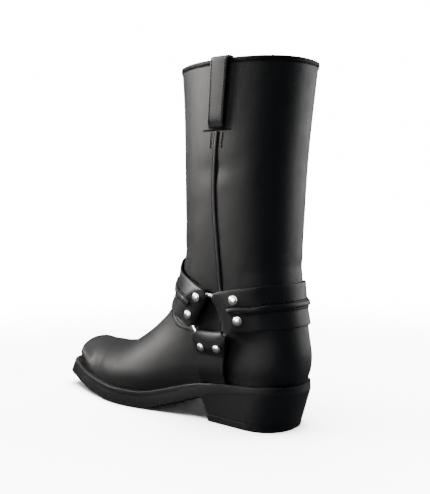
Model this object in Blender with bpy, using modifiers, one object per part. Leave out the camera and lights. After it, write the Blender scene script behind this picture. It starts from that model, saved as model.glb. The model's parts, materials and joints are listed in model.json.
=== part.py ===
"""A left western harness boot, standing on its sole.

The frame: the origin is the middle of the heel's bottom face, on the floor. +X points to the
toe, +Y to the outer side of the foot (left) and +Z up. Sizes below are in millimetres, and MM
turns them into Blender's metres when a mesh is made.
"""
import math
from collections import namedtuple

import bmesh
import bpy
import numpy as np
from mathutils import Matrix, Vector

MM = 0.001

# Driving dimensions
BOOT_HEIGHT = 340.0
TOE_TIP = 261.0
HEEL_TIP = -49.5
HEEL_LENGTH = 78.0
TOE_SPRING = 17.2
TOE_LEAN = 0.22
WALL = 2.4
GAP = 0.3
VAMP_STEP = 1.2

# Sole stack
HEEL_SEAT = 36.0
LIFT_THICKNESS = 6.5
MIDSOLE_BACK = 30.0
RIB_FIRST, RIB_LAST, RIB_PITCH, RIB_DEPTH = 48.5, 101.0, 3.4, 1.6
INSOLE_THICKNESS = 3.0

# Harness
RING_X, RING_Z = 28.7, 102.9
RING_RADIUS, ROD_RADIUS = 22.5, 1.9
STRAP_THICKNESS = 2.0
STRAP_HALF, LOWER_HALF, LOWER_FOOT = 20.0, 18.0, 16.0
RETURN_LENGTH, RETURN_WIDTH = 20.0, 0.9
RIVET_RADIUS, RIVET_HEIGHT = 4.3, 2.4
KEEPER_HALF, KEEPER_HEIGHT = 2.7, 2.2

# Lifts of the straps' middle faces above the leg, for one layer and for a layer on a layer
ONE_LAYER = VAMP_STEP + 2 * GAP + STRAP_THICKNESS / 2
TWO_LAYERS = ONE_LAYER + STRAP_THICKNESS + GAP
BEND = ROD_RADIUS + 0.4 + STRAP_THICKNESS / 2
ROD_LIFT = ONE_LAYER + BEND + 1.0
BEHIND_VAMP = 0.8

# Collar, pull straps and side seams
BINDING_DEPTH, BINDING_THICKNESS = 3.2, 0.5
PULL_HALF_TOP, PULL_HALF_FOOT, PULL_THICKNESS = 9.0, 8.5, 1.8
PULL_BOTTOM, PULL_INSIDE = 278.5, 296.0
PIPING_HALF, PIPING_HEIGHT, PIPING_TOP, PIPING_BOTTOM = 1.3, 2.2, 275.0, 131.0

# Mesh density
COLUMNS = 42
ROWS_BELOW, ROWS_ABOVE = 13, 9
ACROSS = 6

# The upper's outline from the side: one row for each ring of the shell. The ring runs from the
# back profile at height back_z to the front profile at (front_x, front_z). Near the front the
# shell rounds over the length rounding, squarer where square is larger.
Ring = namedtuple("Ring", "name front_x front_z back_z rounding square")
RINGS = [
    Ring("toe foot", 244.0, 29.3, 41.0, 20, 3.4),
    Ring("toe wall", 247.5, 37.0, 48.0, 21, 3.3),
    Ring("toe edge", 245.2, 47.5, 54.0, 25, 2.8),
    Ring("toe top", 237.0, 53.4, 60.0, 37, 2.0),
    Ring("toe box", 215.0, 53.7, 66.0, 46, 1.8),
    Ring("toe crease", 191.0, 54.3, 72.0, 48, 2.0),
    Ring("ball", 168.0, 58.2, 79.0, 50, 2.1),
    Ring("vamp", 149.0, 68.0, 88.0, 57, 2.0),
    Ring("instep", 129.0, 82.5, 98.0, 65, 1.9),
    Ring("throat", 109.0, 101.5, 112.0, 66, 1.9),
    Ring("ankle bend", 96.0, 124.0, 132.0, 62, 2.0),
    Ring("ankle", 88.5, 150.0, 158.0, 60, 2.0),
    Ring("shaft foot", 85.3, 185.0, 190.0, 61, 2.0),
    Ring("calf", 84.2, 245.0, 250.0, 63, 2.0),
    Ring("shaft", 84.4, 298.0, 300.0, 67, 2.0),
    Ring("rim", 86.5, BOOT_HEIGHT - 1.5, BOOT_HEIGHT - 1.5, 70, 2.0),
]

# The back profile
Back = namedtuple("Back", "z x rounding")
BACK = [
    Back(41.0, -46.0, 34), Back(52.0, -50.0, 34), Back(66.0, -51.5, 35), Back(90.0, -48.0, 38),
    Back(115.0, -42.5, 42), Back(140.0, -39.0, 46), Back(165.0, -38.5, 50), Back(200.0, -40.0, 54),
    Back(250.0, -43.0, 60), Back(300.0, -48.5, 66), Back(BOOT_HEIGHT, -53.5, 70),
]

# Half breadth of the foot to each side of a centre line that swings inward at the toe
Plan = namedtuple("Plan", "x outer inner centre")
PLAN = [
    Plan(-60, 32.5, 32.5, 0), Plan(-20, 33.0, 33.0, 0), Plan(30, 34.0, 33.0, 0),
    Plan(60, 36.5, 33.0, 0), Plan(90, 41.0, 35.0, 0), Plan(120, 46.0, 40.5, 0),
    Plan(150, 48.5, 45.5, 0), Plan(180, 46.5, 46.5, -1), Plan(205, 41.0, 43.5, -2),
    Plan(230, 32.5, 35.0, -3), Plan(255, 27.5, 29.5, -4),
]

# Half breadth of the leg by height
Leg = namedtuple("Leg", "z half")
LEG = [
    Leg(70, 34.5), Leg(100, 36.5), Leg(130, 39.0), Leg(160, 41.5), Leg(200, 44.5),
    Leg(250, 47.5), Leg(300, 50.0), Leg(BOOT_HEIGHT, 52.0),
]

# The sole along its underside: height above the floor, total thickness square to the underside,
# and half breadth to each side
Sole = namedtuple("Sole", "x z thickness outer inner centre")
SOLE = [
    Sole(HEEL_TIP, HEEL_SEAT, 7.7, 35.5, 35.5, 0), Sole(-30, 35.2, 7.6, 36.0, 36.0, 0),
    Sole(-10, 33.4, 7.6, 36.5, 36.5, 0), Sole(12, 30.9, 8.9, 36.5, 36.0, 0),
    Sole(30, 27.2, 11.0, 36.5, 35.0, 0), Sole(44, 22.6, 13.6, 36.5, 34.0, 0),
    Sole(58, 17.8, 15.1, 38.0, 33.5, 0), Sole(76, 11.6, 16.2, 41.0, 34.5, 0),
    Sole(95, 5.6, 16.6, 44.5, 38.0, 0), Sole(110, 1.8, 17.0, 47.0, 42.0, 0),
    Sole(122, 0.0, 17.0, 49.0, 45.0, 0), Sole(131, 0.0, 16.8, 50.5, 47.0, 0),
    Sole(149, 0.0, 16.5, 52.0, 49.5, 0), Sole(166, 0.4, 16.3, 51.5, 51.0, -0.5),
    Sole(185, 1.9, 16.0, 48.5, 50.5, -1.5), Sole(205, 4.2, 15.8, 44.5, 47.5, -2),
    Sole(230, 8.5, 15.6, 38.0, 41.0, -3), Sole(245, 12.4, 15.5, 34.0, 36.5, -3.5),
    Sole(TOE_TIP, TOE_SPRING, 15.5, 32.0, 34.0, -4),
]

# Middle lines of the two straps round the leg: height at each share of a turn from the back, the
# same on both sides, and the cosine of the strap's slope there
Wrap = namedtuple("Wrap", "turn z level")
FRONT_LINE = [Wrap(0.18, 86.0, 0.93), Wrap(0.245, RING_Z, 0.92), Wrap(0.298, 113.5, 0.93),
              Wrap(0.36, 121.5, 0.95), Wrap(0.41, 127.0, 0.95), Wrap(0.46, 133.0, 0.96),
              Wrap(0.5, 136.0, 1.0)]
REAR_LINE = [Wrap(0.0, 117.0, 1.0), Wrap(0.104, 116.0, 0.99), Wrap(0.174, 110.8, 0.96),
             Wrap(0.245, RING_Z, 0.94), Wrap(0.31, 90.0, 0.93)]

# Middle lines of the lower straps and the side seams, seen from the side
Place = namedtuple("Place", "x z")
LOWER_LINE = [Place(31.0, 30), Place(31.0, 60), Place(29.5, 80), Place(RING_X, RING_Z)]
SEAM_LINE = [Place(18, 120), Place(17.7, 144), Place(18.7, 176), Place(19.7, 213), Place(17, 250),
             Place(13, 278), Place(5, BOOT_HEIGHT)]

# The vamp's edge: share of the shell's height at each share of a turn round the boot
Edge = namedtuple("Edge", "turn height")
VAMP_EDGE = [Edge(0.0, 0.50), Edge(0.20, 0.51), Edge(0.27, 0.547), Edge(0.30, 0.554),
             Edge(0.325, 0.564), Edge(0.36, 0.584), Edge(0.40, 0.607), Edge(0.5, 0.63)]

# Materials: base colour, roughness, metallic
LEATHER = ("black leather", (0.022, 0.021, 0.020), 0.52, 0.0)
STRAP_LEATHER = ("strap leather", (0.020, 0.019, 0.019), 0.50, 0.0)
RUBBER = ("sole rubber", (0.030, 0.031, 0.032), 0.62, 0.0)
WELT = ("welt leather", (0.036, 0.036, 0.036), 0.58, 0.0)
INSOLE = ("insole board", (0.16, 0.11, 0.07), 0.80, 0.0)
NICKEL = ("nickel", (0.80, 0.76, 0.68), 0.24, 1.0)


# Small functions

def column(rows, name):
    """One named column of a table, as an array."""
    return np.array([getattr(row, name) for row in rows], float)


def spline(knots, values, at):
    """A smooth curve through the knots: cubic pieces with slopes weighted from both neighbours."""
    knots, values = np.asarray(knots, float), np.asarray(values, float)
    width = np.diff(knots)
    rise = np.diff(values) / width
    slope = np.concatenate([rise[:1], (rise[:-1] * width[1:] + rise[1:] * width[:-1])
                            / (width[1:] + width[:-1]), rise[-1:]])
    at = np.clip(np.asarray(at, float), knots[0], knots[-1])
    i = np.clip(np.searchsorted(knots, at, side="right") - 1, 0, len(knots) - 2)
    t = (at - knots[i]) / width[i]
    return ((1 + 2 * t) * (1 - t) ** 2 * values[i] + t * (1 - t) ** 2 * width[i] * slope[i]
            + t * t * (3 - 2 * t) * values[i + 1] + t * t * (t - 1) * width[i] * slope[i + 1])


def table(rows, key, name, at):
    """A table's column as a smooth function of its key column."""
    return spline(column(rows, key), column(rows, name), at)


def smoothstep(low, high, at):
    """0 below low, 1 above high, smooth between."""
    t = np.clip((np.asarray(at, float) - low) / (high - low), 0, 1)
    return t * t * (3 - 2 * t)


def rounding(depth, reach, square):
    """Share of the full breadth at a depth behind an edge that rounds off over a reach."""
    away = 1 - np.clip(depth / reach, 0, 1)
    return (1 - away ** square) ** (1 / square)


def unit(vectors):
    """Vectors scaled to length one."""
    return vectors / np.linalg.norm(vectors, axis=-1, keepdims=True)


# The sole's shape

def sole_floor(x):
    """Height of the sole's underside, never below the floor."""
    return np.maximum(table(SOLE, "x", "z", x), 0.0)


def sole_line(x, lift):
    """Points (x, z) at a height lift above the sole's underside, measured square to it."""
    step = 0.5
    rise = (sole_floor(x + step) - sole_floor(x - step)) / (2 * step)
    length = np.hypot(1, rise)
    lean = rise / length + TOE_LEAN * smoothstep(232.0, TOE_TIP, x)
    return x - lift * lean, sole_floor(x) + lift / length


def sole_breadth(x, side, inset):
    """Half breadth of the sole at x to one side, drawn in by an inset."""
    half = table(SOLE, "x", "outer" if side > 0 else "inner", x) - inset
    back = rounding(x - HEEL_TIP - inset, 34, 2.2)
    front = rounding(TOE_TIP - inset - x, 19, 3.8)
    return half * back * front


SOLE_X = np.linspace(HEEL_TIP, TOE_TIP, 400)
SEAT_X, SEAT_Z = sole_line(SOLE_X, table(SOLE, "x", "thickness", SOLE_X))


def seat(x):
    """Height of the sole's top, where the upper stands."""
    return np.interp(x, SEAT_X, SEAT_Z)


# The upper's surface

RING_INDEX = np.arange(len(RINGS))
PROFILE = np.linspace(0, len(RINGS) - 1, 600)
FRONT_X = spline(RING_INDEX, column(RINGS, "front_x"), PROFILE)
FRONT_Z = spline(RING_INDEX, column(RINGS, "front_z"), PROFILE)
FRONT_REACH = spline(RING_INDEX, column(RINGS, "rounding"), PROFILE)
FRONT_SQUARE = spline(RING_INDEX, column(RINGS, "square"), PROFILE)
BACK_Z = np.linspace(BACK[0].z, BACK[-1].z, 400)
BACK_X = table(BACK, "z", "x", BACK_Z)
BACK_REACH = table(BACK, "z", "rounding", BACK_Z)
SOFT = 4.0
LEVEL_TOE = 1.6


def to_piece_of_line(x, z, line_x, line_z, start):
    """Distance of points from the straight piece of a line that begins at index start."""
    start = np.clip(start, 0, len(line_x) - 2)
    along_x, along_z = np.diff(line_x)[start], np.diff(line_z)[start]
    away_x, away_z = x - line_x[start], z - line_z[start]
    share = np.clip((away_x * along_x + away_z * along_z) / (along_x ** 2 + along_z ** 2), 0, 1)
    return np.hypot(away_x - share * along_x, away_z - share * along_z)


def edge_share(x, z, line_x, line_z, reach, square):
    """Share of the full breadth at points behind a profile line, by their distance from it.

    Reach and square belong to the line. A point takes their mean, weighted to the line's near part,
    so the share stays smooth where two parts of the line are equally near.
    """
    index = np.empty(x.size, int)
    own_reach, own_square = np.empty(x.size), np.empty(x.size)
    for block in np.array_split(np.arange(x.size), x.size // 4000 + 1):
        away = np.hypot(x[block, None] - line_x, z[block, None] - line_z)
        index[block] = away.argmin(axis=1)
        weight = np.exp((away.min(axis=1, keepdims=True) - away) / SOFT)
        total = weight.sum(axis=1)
        own_reach[block], own_square[block] = weight @ reach / total, weight @ square / total
    depth = np.minimum(to_piece_of_line(x, z, line_x, line_z, index - 1),
                       to_piece_of_line(x, z, line_x, line_z, index))
    return rounding(depth, own_reach, own_square)


def half_breadth(x, z, side):
    """Half breadth of the upper at a place in the side view, to one side."""
    shape = x.shape
    x, z = x.ravel(), z.ravel()
    share = edge_share(x, z, FRONT_X, FRONT_Z, FRONT_REACH, FRONT_SQUARE)
    share = share * edge_share(x, z, BACK_X, BACK_Z, BACK_REACH, np.full(len(BACK_X), 2.3))
    foot = table(PLAN, "x", "outer" if side > 0 else "inner", x)
    leg = table(LEG, "z", "half", z)
    to_leg = smoothstep(60, 150, z)
    tuck = np.clip(1 - (z - seat(x)) / 22, 0, 1)
    half = (foot * (1 - to_leg) + leg * to_leg) * (1 - 0.10 * tuck ** 2)
    return (half * share).reshape(shape)


def ring_path(height, turn):
    """The side view (x, z) of the upper's rings.

    height runs from 0 at the sole to 1 at the rim, turn from 0 at the back over the outer side
    to 0.5 at the front and over the inner side to 1. A ring is level near the toe, so that it stays
    within the toe's profile.
    """
    height, turn = np.broadcast_arrays(np.asarray(height, float), np.asarray(turn, float) % 1.0)
    ring = height * (len(RINGS) - 1)
    front_x = spline(RING_INDEX, column(RINGS, "front_x"), ring)
    front_z = spline(RING_INDEX, column(RINGS, "front_z"), ring)
    back_z = spline(RING_INDEX, column(RINGS, "back_z"), ring)
    along = (1 - np.cos(2 * np.pi * turn)) / 2
    first = RINGS[0]
    foot_x = BACK[0].x + (first.front_x - BACK[0].x) * along
    fall = 1 - (1 - along) ** LEVEL_TOE
    straight = first.back_z + (first.front_z - first.back_z) * fall
    rise = seat(foot_x) + GAP - straight - along ** 8 * (seat(first.front_x) + GAP - first.front_z)
    settle = np.clip(1 - (back_z - first.back_z) / 70, 0, 1) ** 1.5
    back_x = table(BACK, "z", "x", back_z + settle * (seat(BACK[0].x) + GAP - first.back_z))
    x = back_x + (front_x - back_x) * along
    z = back_z + (front_z - back_z) * fall + settle * rise
    return x, z


def surface(height, turn):
    """Points on the upper's outer face: its side view and the half breadth there."""
    height, turn = np.broadcast_arrays(np.asarray(height, float), np.asarray(turn, float) % 1.0)
    x, z = ring_path(height, turn)
    centre = table(PLAN, "x", "centre", x) * np.clip(1 - (z - 60) / 60, 0, 1)
    y = centre + np.where(turn <= 0.5, half_breadth(x, z, 1), -half_breadth(x, z, -1))
    return np.stack([x, y, z], axis=-1)


def normals(height, turn):
    """Outward normals of the upper's surface, from small steps along it."""
    height, turn = np.broadcast_arrays(np.asarray(height, float), np.asarray(turn, float))
    low, high = np.clip(height - 0.004, 0, 1), np.clip(height + 0.004, 0, 1)
    up = surface(high, turn) - surface(low, turn)
    round_boot = surface(height, turn + 0.004) - surface(height, turn - 0.004)
    return unit(np.cross(up, round_boot))


def vamp_edge(turn):
    """Height share of the vamp's edge, the same on both sides."""
    half = np.minimum(turn % 1.0, 1 - turn % 1.0)
    return spline(column(VAMP_EDGE, "turn"), column(VAMP_EDGE, "height"), half)


def vamp_cover(turn):
    """How far the vamp's thickness is laid on: none behind the side seam, all in front."""
    half = np.minimum(turn % 1.0, 1 - turn % 1.0)
    return smoothstep(0.205, 0.228, half)


def halve(test, low, high):
    """Where test changes from true to false between low and high, by halving, for arrays."""
    for _ in range(30):
        middle = (low + high) / 2
        below = test(middle)
        low, high = np.where(below, middle, low), np.where(below, high, middle)
    return (low + high) / 2


def side_point(x, z):
    """Height share and turn of the outer side's points at (x, z)."""
    x, z = np.broadcast_arrays(np.asarray(x, float), np.asarray(z, float))
    turn = np.full(x.shape, 0.25)
    for _ in range(10):
        height = halve(lambda at: ring_path(at, turn)[1] < z, np.zeros(x.shape), np.ones(x.shape))
        turn = halve(lambda at: ring_path(height, at)[0] < x, np.zeros(x.shape), np.full(x.shape, 0.5))
    return height, turn


# Mesh makers

parts = bpy.data.collections.new("western_boot")
materials = {}


def material(recipe):
    """The Principled material for a recipe of name, colour, roughness and metallic."""
    name, colour, roughness, metallic = recipe
    if name not in materials:
        made = bpy.data.materials.new(name)
        made.use_nodes = True
        shader = made.node_tree.nodes["Principled BSDF"]
        shader.inputs["Base Color"].default_value = (*colour, 1.0)
        shader.inputs["Roughness"].default_value = roughness
        shader.inputs["Metallic"].default_value = metallic
        made.diffuse_color = (*colour, 1.0)
        materials[name] = made
    return materials[name]


def add_object(name, mesh, recipe):
    """Put a mesh into the boot's collection as a named object with its material."""
    mesh.materials.append(material(recipe))
    made = bpy.data.objects.new(name, mesh)
    parts.objects.link(made)
    return made


def mesh_from_grid(name, points, around, along):
    """A mesh of quads over a grid of points; around and along say which directions close."""
    rows, columns = points.shape[:2]
    mesh = bpy.data.meshes.new(name)
    faces = []
    for i in range(rows if along else rows - 1):
        for j in range(columns if around else columns - 1):
            up, on = (i + 1) % rows, (j + 1) % columns
            faces.append((i * columns + j, i * columns + on, up * columns + on, up * columns + j))
    mesh.from_pydata((points.reshape(-1, 3) * MM).tolist(), [], faces)
    return mesh


def tidy(mesh):
    """Close any open end loops and turn the faces outward."""
    work = bmesh.new()
    work.from_mesh(mesh)
    open_edges = [edge for edge in work.edges if edge.is_boundary]
    bmesh.ops.holes_fill(work, edges=open_edges, sides=0)
    bmesh.ops.recalc_face_normals(work, faces=work.faces)
    work.to_mesh(mesh)
    work.free()


def loft(name, sections, recipe, closed=False):
    """A solid through closed sections: an array of sections, points and coordinates."""
    mesh = mesh_from_grid(name, sections, around=True, along=closed)
    tidy(mesh)
    return add_object(name, mesh, recipe)


def sheet(name, points, recipe, thickness, offset, around=False):
    """A thick sheet: a grid of points with a Solidify modifier."""
    mesh = mesh_from_grid(name, points, around=around, along=False)
    made = add_object(name, mesh, recipe)
    wall = made.modifiers.new("wall", "SOLIDIFY")
    wall.thickness = thickness * MM
    wall.offset = offset
    wall.use_even_offset = True
    wall.use_quality_normals = True
    return made


# Upper

def make_upper():
    """The hollow shell, with the vamp's edge as a step between two rows of points."""
    turns = np.arange(COLUMNS) / COLUMNS
    edge = vamp_edge(turns)
    below = np.linspace(0, 1, ROWS_BELOW)[:, None] * (edge - 0.004)
    above = (edge + 0.004) + np.linspace(0, 1, ROWS_ABOVE)[:, None] * (1 - edge - 0.004)
    heights = np.concatenate([below, above])
    laid_on = np.concatenate([np.ones_like(below), np.zeros_like(above)]) * vamp_cover(turns)
    points = surface(heights, turns) + normals(heights, turns) * (laid_on * VAMP_STEP)[..., None]
    points[0, :, 2] = seat(points[0, :, 0]) + 1.5 * GAP
    return sheet("upper", points, LEATHER, WALL, 1.0, around=True)


# Sole, midsole, heel and insole

def sole_stations(start, end, ribs):
    """Places along the sole: close together at both ends, with four at each rib."""
    middle = [-30.0, -16.0, -4.0, 6.0, 16.0, 26.0, 36.0, 108.0, 116.0, 124.0, 131.0, 140.0, 149.0]
    middle += [158.0, 170.0, 184.0, 200.0, 216.0, 230.0]
    if not ribs:
        middle += [50.0, 63.0, 77.0, 92.0]
    ends = [HEEL_TIP + d for d in (0.15, 1.2, 3.5, 7.5, 13)]
    ends += [TOE_TIP - d for d in (0.1, 0.8, 2.4, 5.0, 9.0, 15.0)]
    places = {round(float(x), 3): 0.0 for x in middle + ends if start < x < end}
    places[start] = 0.0
    places[end] = 0.0
    if ribs:
        for x in np.arange(RIB_FIRST, RIB_LAST, RIB_PITCH):
            for shift, depth in ((0.0, 0.0), (0.3, 1.0), (1.3, 1.0), (1.6, 0.0)):
                places[round(float(x) + shift, 3)] = depth * RIB_DEPTH
    stations = np.array(sorted(places.items()))
    return stations[:, 0], stations[:, 1]


def sole_layer(stations, bottom, top, inset):
    """Closed sections of a layer of the sole between two lifts above its underside."""
    rows = []
    down = (top, top - 1.0, bottom + 1.2, bottom)
    for side, lifts in ((1, down), (-1, down[::-1])):
        half = sole_breadth(stations, side, inset)
        centre = table(SOLE, "x", "centre", stations)
        trims = (0.8, 0.0, 0.0, 0.9) if side > 0 else (0.9, 0.0, 0.0, 0.8)
        for lift, trim in zip(lifts, trims):
            x, z = sole_line(stations, lift)
            y = centre + side * np.maximum(half - trim, 0.3)
            rows.append(np.stack([x, y, z], axis=-1))
    return np.stack(rows, axis=1)


def midsole_thickness(x):
    """Thickness of the welt and midsole, skived toward the heel."""
    return 2.6 + 2.9 * smoothstep(MIDSOLE_BACK, 85, x)


def make_soles():
    """Outsole with its ribs, midsole, insole and the two heel layers."""
    stations, ribs = sole_stations(HEEL_TIP + 0.15, TOE_TIP - 0.1, True)
    step_back, step_front = MIDSOLE_BACK - 1.0, MIDSOLE_BACK - 0.6
    extra = np.array([step_back, step_front])
    stations = np.concatenate([stations, extra])
    ribs = np.concatenate([ribs, 0 * extra])
    order = np.argsort(stations)
    stations, ribs = stations[order], ribs[order]
    full = table(SOLE, "x", "thickness", stations)
    under = stations > step_back + 0.1
    top = full - np.where(under, midsole_thickness(stations) + GAP, 0)
    loft("outsole", sole_layer(stations, ribs, top, 0.0), RUBBER)

    stations, _ = sole_stations(MIDSOLE_BACK, TOE_TIP - 0.6, False)
    full = table(SOLE, "x", "thickness", stations)
    loft("midsole", sole_layer(stations, full - midsole_thickness(stations), full, 0.6), WELT)

    make_insole()
    make_heel()


def make_insole():
    """A plate inside the foot of the upper, lying just above the sole."""
    turns = np.arange(COLUMNS) / COLUMNS
    rim = surface(np.zeros(COLUMNS), turns)
    inward = -normals(np.full(COLUMNS, 0.004), turns)
    inward[:, 2] = 0
    outline = rim + unit(inward) * (WALL + 1.2)
    half = COLUMNS // 2
    outer, inner = outline[1:half], outline[:half:-1]
    x = (outer[:, 0] + inner[:, 0]) / 2
    low = seat(x) + 2 * GAP
    high = low + INSOLE_THICKNESS
    corners = [(outer[:, 1], low), (outer[:, 1] - 0.4, high),
               (inner[:, 1] + 0.4, high), (inner[:, 1], low)]
    sections = np.stack([np.stack([x, y, z], axis=-1) for y, z in corners], axis=1)
    loft("insole", sections, INSOLE)


def heel_outline(along, level, inset):
    """Heel edge points (x, half breadth) at shares along its length, level 0 floor to 1 seat."""
    back = -HEEL_LENGTH / 2 + (HEEL_TIP + HEEL_LENGTH / 2) * level + inset
    front = HEEL_LENGTH / 2 + 7.0 * level - inset
    x = back + (front - back) * along
    half = (33.6 + 2.4 * level - inset) * rounding(x - back, 33.5, 2.2)
    return x, np.maximum(half, 0.5)


def heel_layer(name, bottom, top, recipe, inset):
    """One layer of the heel; a top of None follows the sole's underside."""
    along = np.array([0.001, 0.012, 0.035, 0.075, 0.13, 0.21, 0.31, 0.42, 0.53, 0.64, 0.76, 0.88, 0.985, 1.0])
    trims = np.array([0] * 13 + [1.0])
    levels = np.linspace(0, 1, 4)
    rows = []
    for side in (1, -1):
        for share in levels if side > 0 else levels[::-1]:
            ceiling = HEEL_SEAT if top is None else top
            x, half = heel_outline(along, (bottom + (ceiling - bottom) * share) / HEEL_SEAT, inset)
            roof = sole_floor(x) - GAP if top is None else np.full_like(x, top)
            rows.append(np.stack([x, side * (half - trims), bottom + (roof - bottom) * share], axis=-1))
    loft(name, np.stack(rows, axis=1), recipe)


def make_heel():
    """The heel block under the sole and the wearing piece under it."""
    heel_layer("heel_lift", 0.0, LIFT_THICKNESS, RUBBER, 0.0)
    heel_layer("heel_block", LIFT_THICKNESS + GAP, None, RUBBER, 0.1)


# Harness

RING_HEIGHT, RING_TURN = (float(share) for share in side_point(RING_X, RING_Z))
Frame = namedtuple("Frame", "centre forward up normal")
# Each strap leaves its ring at an angle, fans over a span to both sides of it, sags inside the
# rod by its slack, and has two rivets and a keeper at their own reaches from the rod
Strap = namedtuple("Strap", "name line angle span half slack rivets spread keeper")
FRONT_STRAP = Strap("strap_front", FRONT_LINE, 33.0, 56.0, STRAP_HALF, 0.8, 0.6, 9.8, 1.2)
REAR_STRAP = Strap("strap_rear", REAR_LINE, 159.0, 50.0, STRAP_HALF, 0.7, 14.2, 9.8, 5.0)
LOWER_STRAP = Strap("strap_lower", LOWER_LINE, -91.5, 52.0, LOWER_HALF, 0.8, 7.1, 7.9, 0.0)


def ring_frame(inner):
    """The ring's centre and axes on one side of the boot, standing off the leg."""
    turn = 1 - RING_TURN if inner else RING_TURN
    normal = normals(RING_HEIGHT, turn)
    up = unit(np.array([0.0, 0.0, 1.0]) - normal * normal[2])
    forward = np.cross(up, normal)
    forward = forward * np.sign(forward[0])
    return Frame(surface(RING_HEIGHT, turn) + normal * ROD_LIFT, forward, up, normal)


def ring_point(frame, strap, reach, across, lift):
    """A place on a strap's end beside its ring.

    reach is the distance outward from the rod, across the place over the strap's width and lift
    the height over the ring's plane. Close to the rod the strap fans out square to it. Inside the
    rod the fold is slack: its middle runs straighter across than the rod does.
    """
    angle = math.radians(strap.angle)
    outward = math.cos(angle) * frame.forward + math.sin(angle) * frame.up
    over = math.cos(angle) * frame.up - math.sin(angle) * frame.forward
    if abs(math.sin(angle)) > 0.7:
        over = over * np.sign(over @ frame.forward)
    else:
        over = over * np.sign(over @ frame.up)
    fan = math.radians(strap.span) * across / strap.half
    round_rod = RING_RADIUS + np.minimum(reach, 4.0)
    straight = np.maximum(reach - 4.0, 0.0)
    narrow = smoothstep(4.0, 16.0, reach)
    bow = math.cos(math.radians(strap.span))
    slack = strap.slack * (RING_RADIUS - BEND) * np.maximum(np.cos(fan) - bow, 0)
    along = round_rod * np.cos(fan) + straight - slack * np.clip(-reach / BEND, 0, 1)
    aside = round_rod * np.sin(fan) * (1 - narrow) + across * narrow
    return (frame.centre + along[..., None] * outward + aside[..., None] * over
            + lift[..., None] * frame.normal)


def band_grid(strap, turns, across):
    """Height shares where a level band crosses the turns, at places across its middle line."""
    heights = np.linspace(0.30, 0.95, 400)
    z = ring_path(heights[:, None], turns[None, :])[1]
    half = np.minimum(turns % 1.0, 1 - turns % 1.0)
    offset = (z - table(strap.line, "turn", "z", half)) * table(strap.line, "turn", "level", half)
    wide = np.broadcast_to(across, (len(turns), np.shape(across)[-1]))
    return np.stack([np.interp(wide[i], offset[:, i], heights) for i in range(len(turns))])


def thin_back(lift, turn):
    """Lifts over the leg, less well behind the vamp's back edge, where no vamp is laid on."""
    half = np.minimum(turn % 1.0, 1 - turn % 1.0)
    return lift[:, None] - BEHIND_VAMP * (1 - smoothstep(0.09, 0.19, half))


def strap_middle(strap, backward):
    """Turns along a strap's middle line from ring to ring, and the length up to each."""
    sweep = np.linspace(0, 1, 240)
    turns = RING_TURN * (1 - 2 * sweep) if backward else RING_TURN + sweep * (1 - 2 * RING_TURN)
    line = surface(band_grid(strap, turns, np.array([0.0]))[:, 0], turns)
    steps = np.linalg.norm(np.diff(line, axis=0), axis=1)
    return turns, np.concatenate([[0], np.cumsum(steps)])


def leg_strap_points(strap, distance, across, lift, backward):
    """Places on a strap round the leg, by distance along its middle from the outer ring."""
    turns, length = strap_middle(strap, backward)
    at = np.interp(distance, length, turns)
    heights = band_grid(strap, at, across)
    spread = np.broadcast_to(at[:, None], heights.shape)
    return surface(heights, spread) + normals(heights, spread) * thin_back(lift, spread)[..., None]


def lower_points(distance, across, lift, inner):
    """Places on the lower strap, by distance down from the ring's centre."""
    z = RING_Z - distance[:, None] + 0 * across
    x = spline(column(LOWER_LINE, "z"), column(LOWER_LINE, "x"), z) + across
    height, turn = side_point(x, z)
    turn = 1 - turn if inner else turn
    return surface(height, turn) + normals(height, turn) * lift[:, None, None]


def strap_face(strap, reach, ring_lift, leg_lift, across, length, backward):
    """A strap's face over its whole length, joining its two ring ends to its run on the leg.

    reach is measured from the outer ring's rod. Past the middle of the strap the inner ring's
    frame takes over. With length None the strap has one ring and hangs down on the outer or, with
    backward true, the inner side. across is one row for all reaches, or a row for each.
    """
    wide = np.broadcast_to(across, (len(reach), np.shape(across)[-1]))
    if length is None:
        leg = lower_points(reach + RING_RADIUS, across, leg_lift, backward)
        near, frames = reach, [ring_frame(backward)] * len(reach)
    else:
        leg = leg_strap_points(strap, reach + RING_RADIUS, across, leg_lift, backward)
        far = length - 2 * RING_RADIUS - reach
        near = np.minimum(reach, far)
        both = (ring_frame(False), ring_frame(True))
        frames = [both[int(other < here)] for here, other in zip(reach, far)]
    points = leg.copy()
    to_leg = smoothstep(4.5, 15.0, near) if length is None else smoothstep(6.0, 26.0, near)
    for i, frame in enumerate(frames):
        if to_leg[i] < 1:
            beside = ring_point(frame, strap, np.full(wide.shape[1], near[i]), wide[i],
                                np.full(wide.shape[1], ring_lift[i]))
            points[i] = beside + (leg[i] - beside) * to_leg[i]
    return points


def folded_end():
    """A strap's folded end: reach from the rod, lift over the ring's plane, lift over the leg, width.

    The leather starts under itself, a little narrower, runs to the rod and goes round it.
    """
    path = [(reach, -BEND, ONE_LAYER, RETURN_WIDTH) for reach in (RETURN_LENGTH, 11.0, 5.0)]
    for degrees in np.linspace(-90, -270, 8):
        turn = math.radians(degrees)
        width = RETURN_WIDTH + (1 - RETURN_WIDTH) * smoothstep(-90, -200, degrees)
        path.append((BEND * math.cos(turn), BEND * math.sin(turn), ONE_LAYER, float(width)))
    return np.array(path)


def top_lift(near):
    """Lift over the leg of a strap's outer layer, which steps down past its folded end."""
    return TWO_LAYERS + (ONE_LAYER - TWO_LAYERS) * smoothstep(24.0, 45.0, near)


def top_stations(last):
    """Reaches along a strap's outer layer from one rod to the other."""
    near = np.array([5.0, 11.0, 18.0, 24.0, 31.0, 38.0])
    return np.concatenate([near, np.linspace(46.0, last - 46.0, 7), last - near[::-1]])


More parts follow.
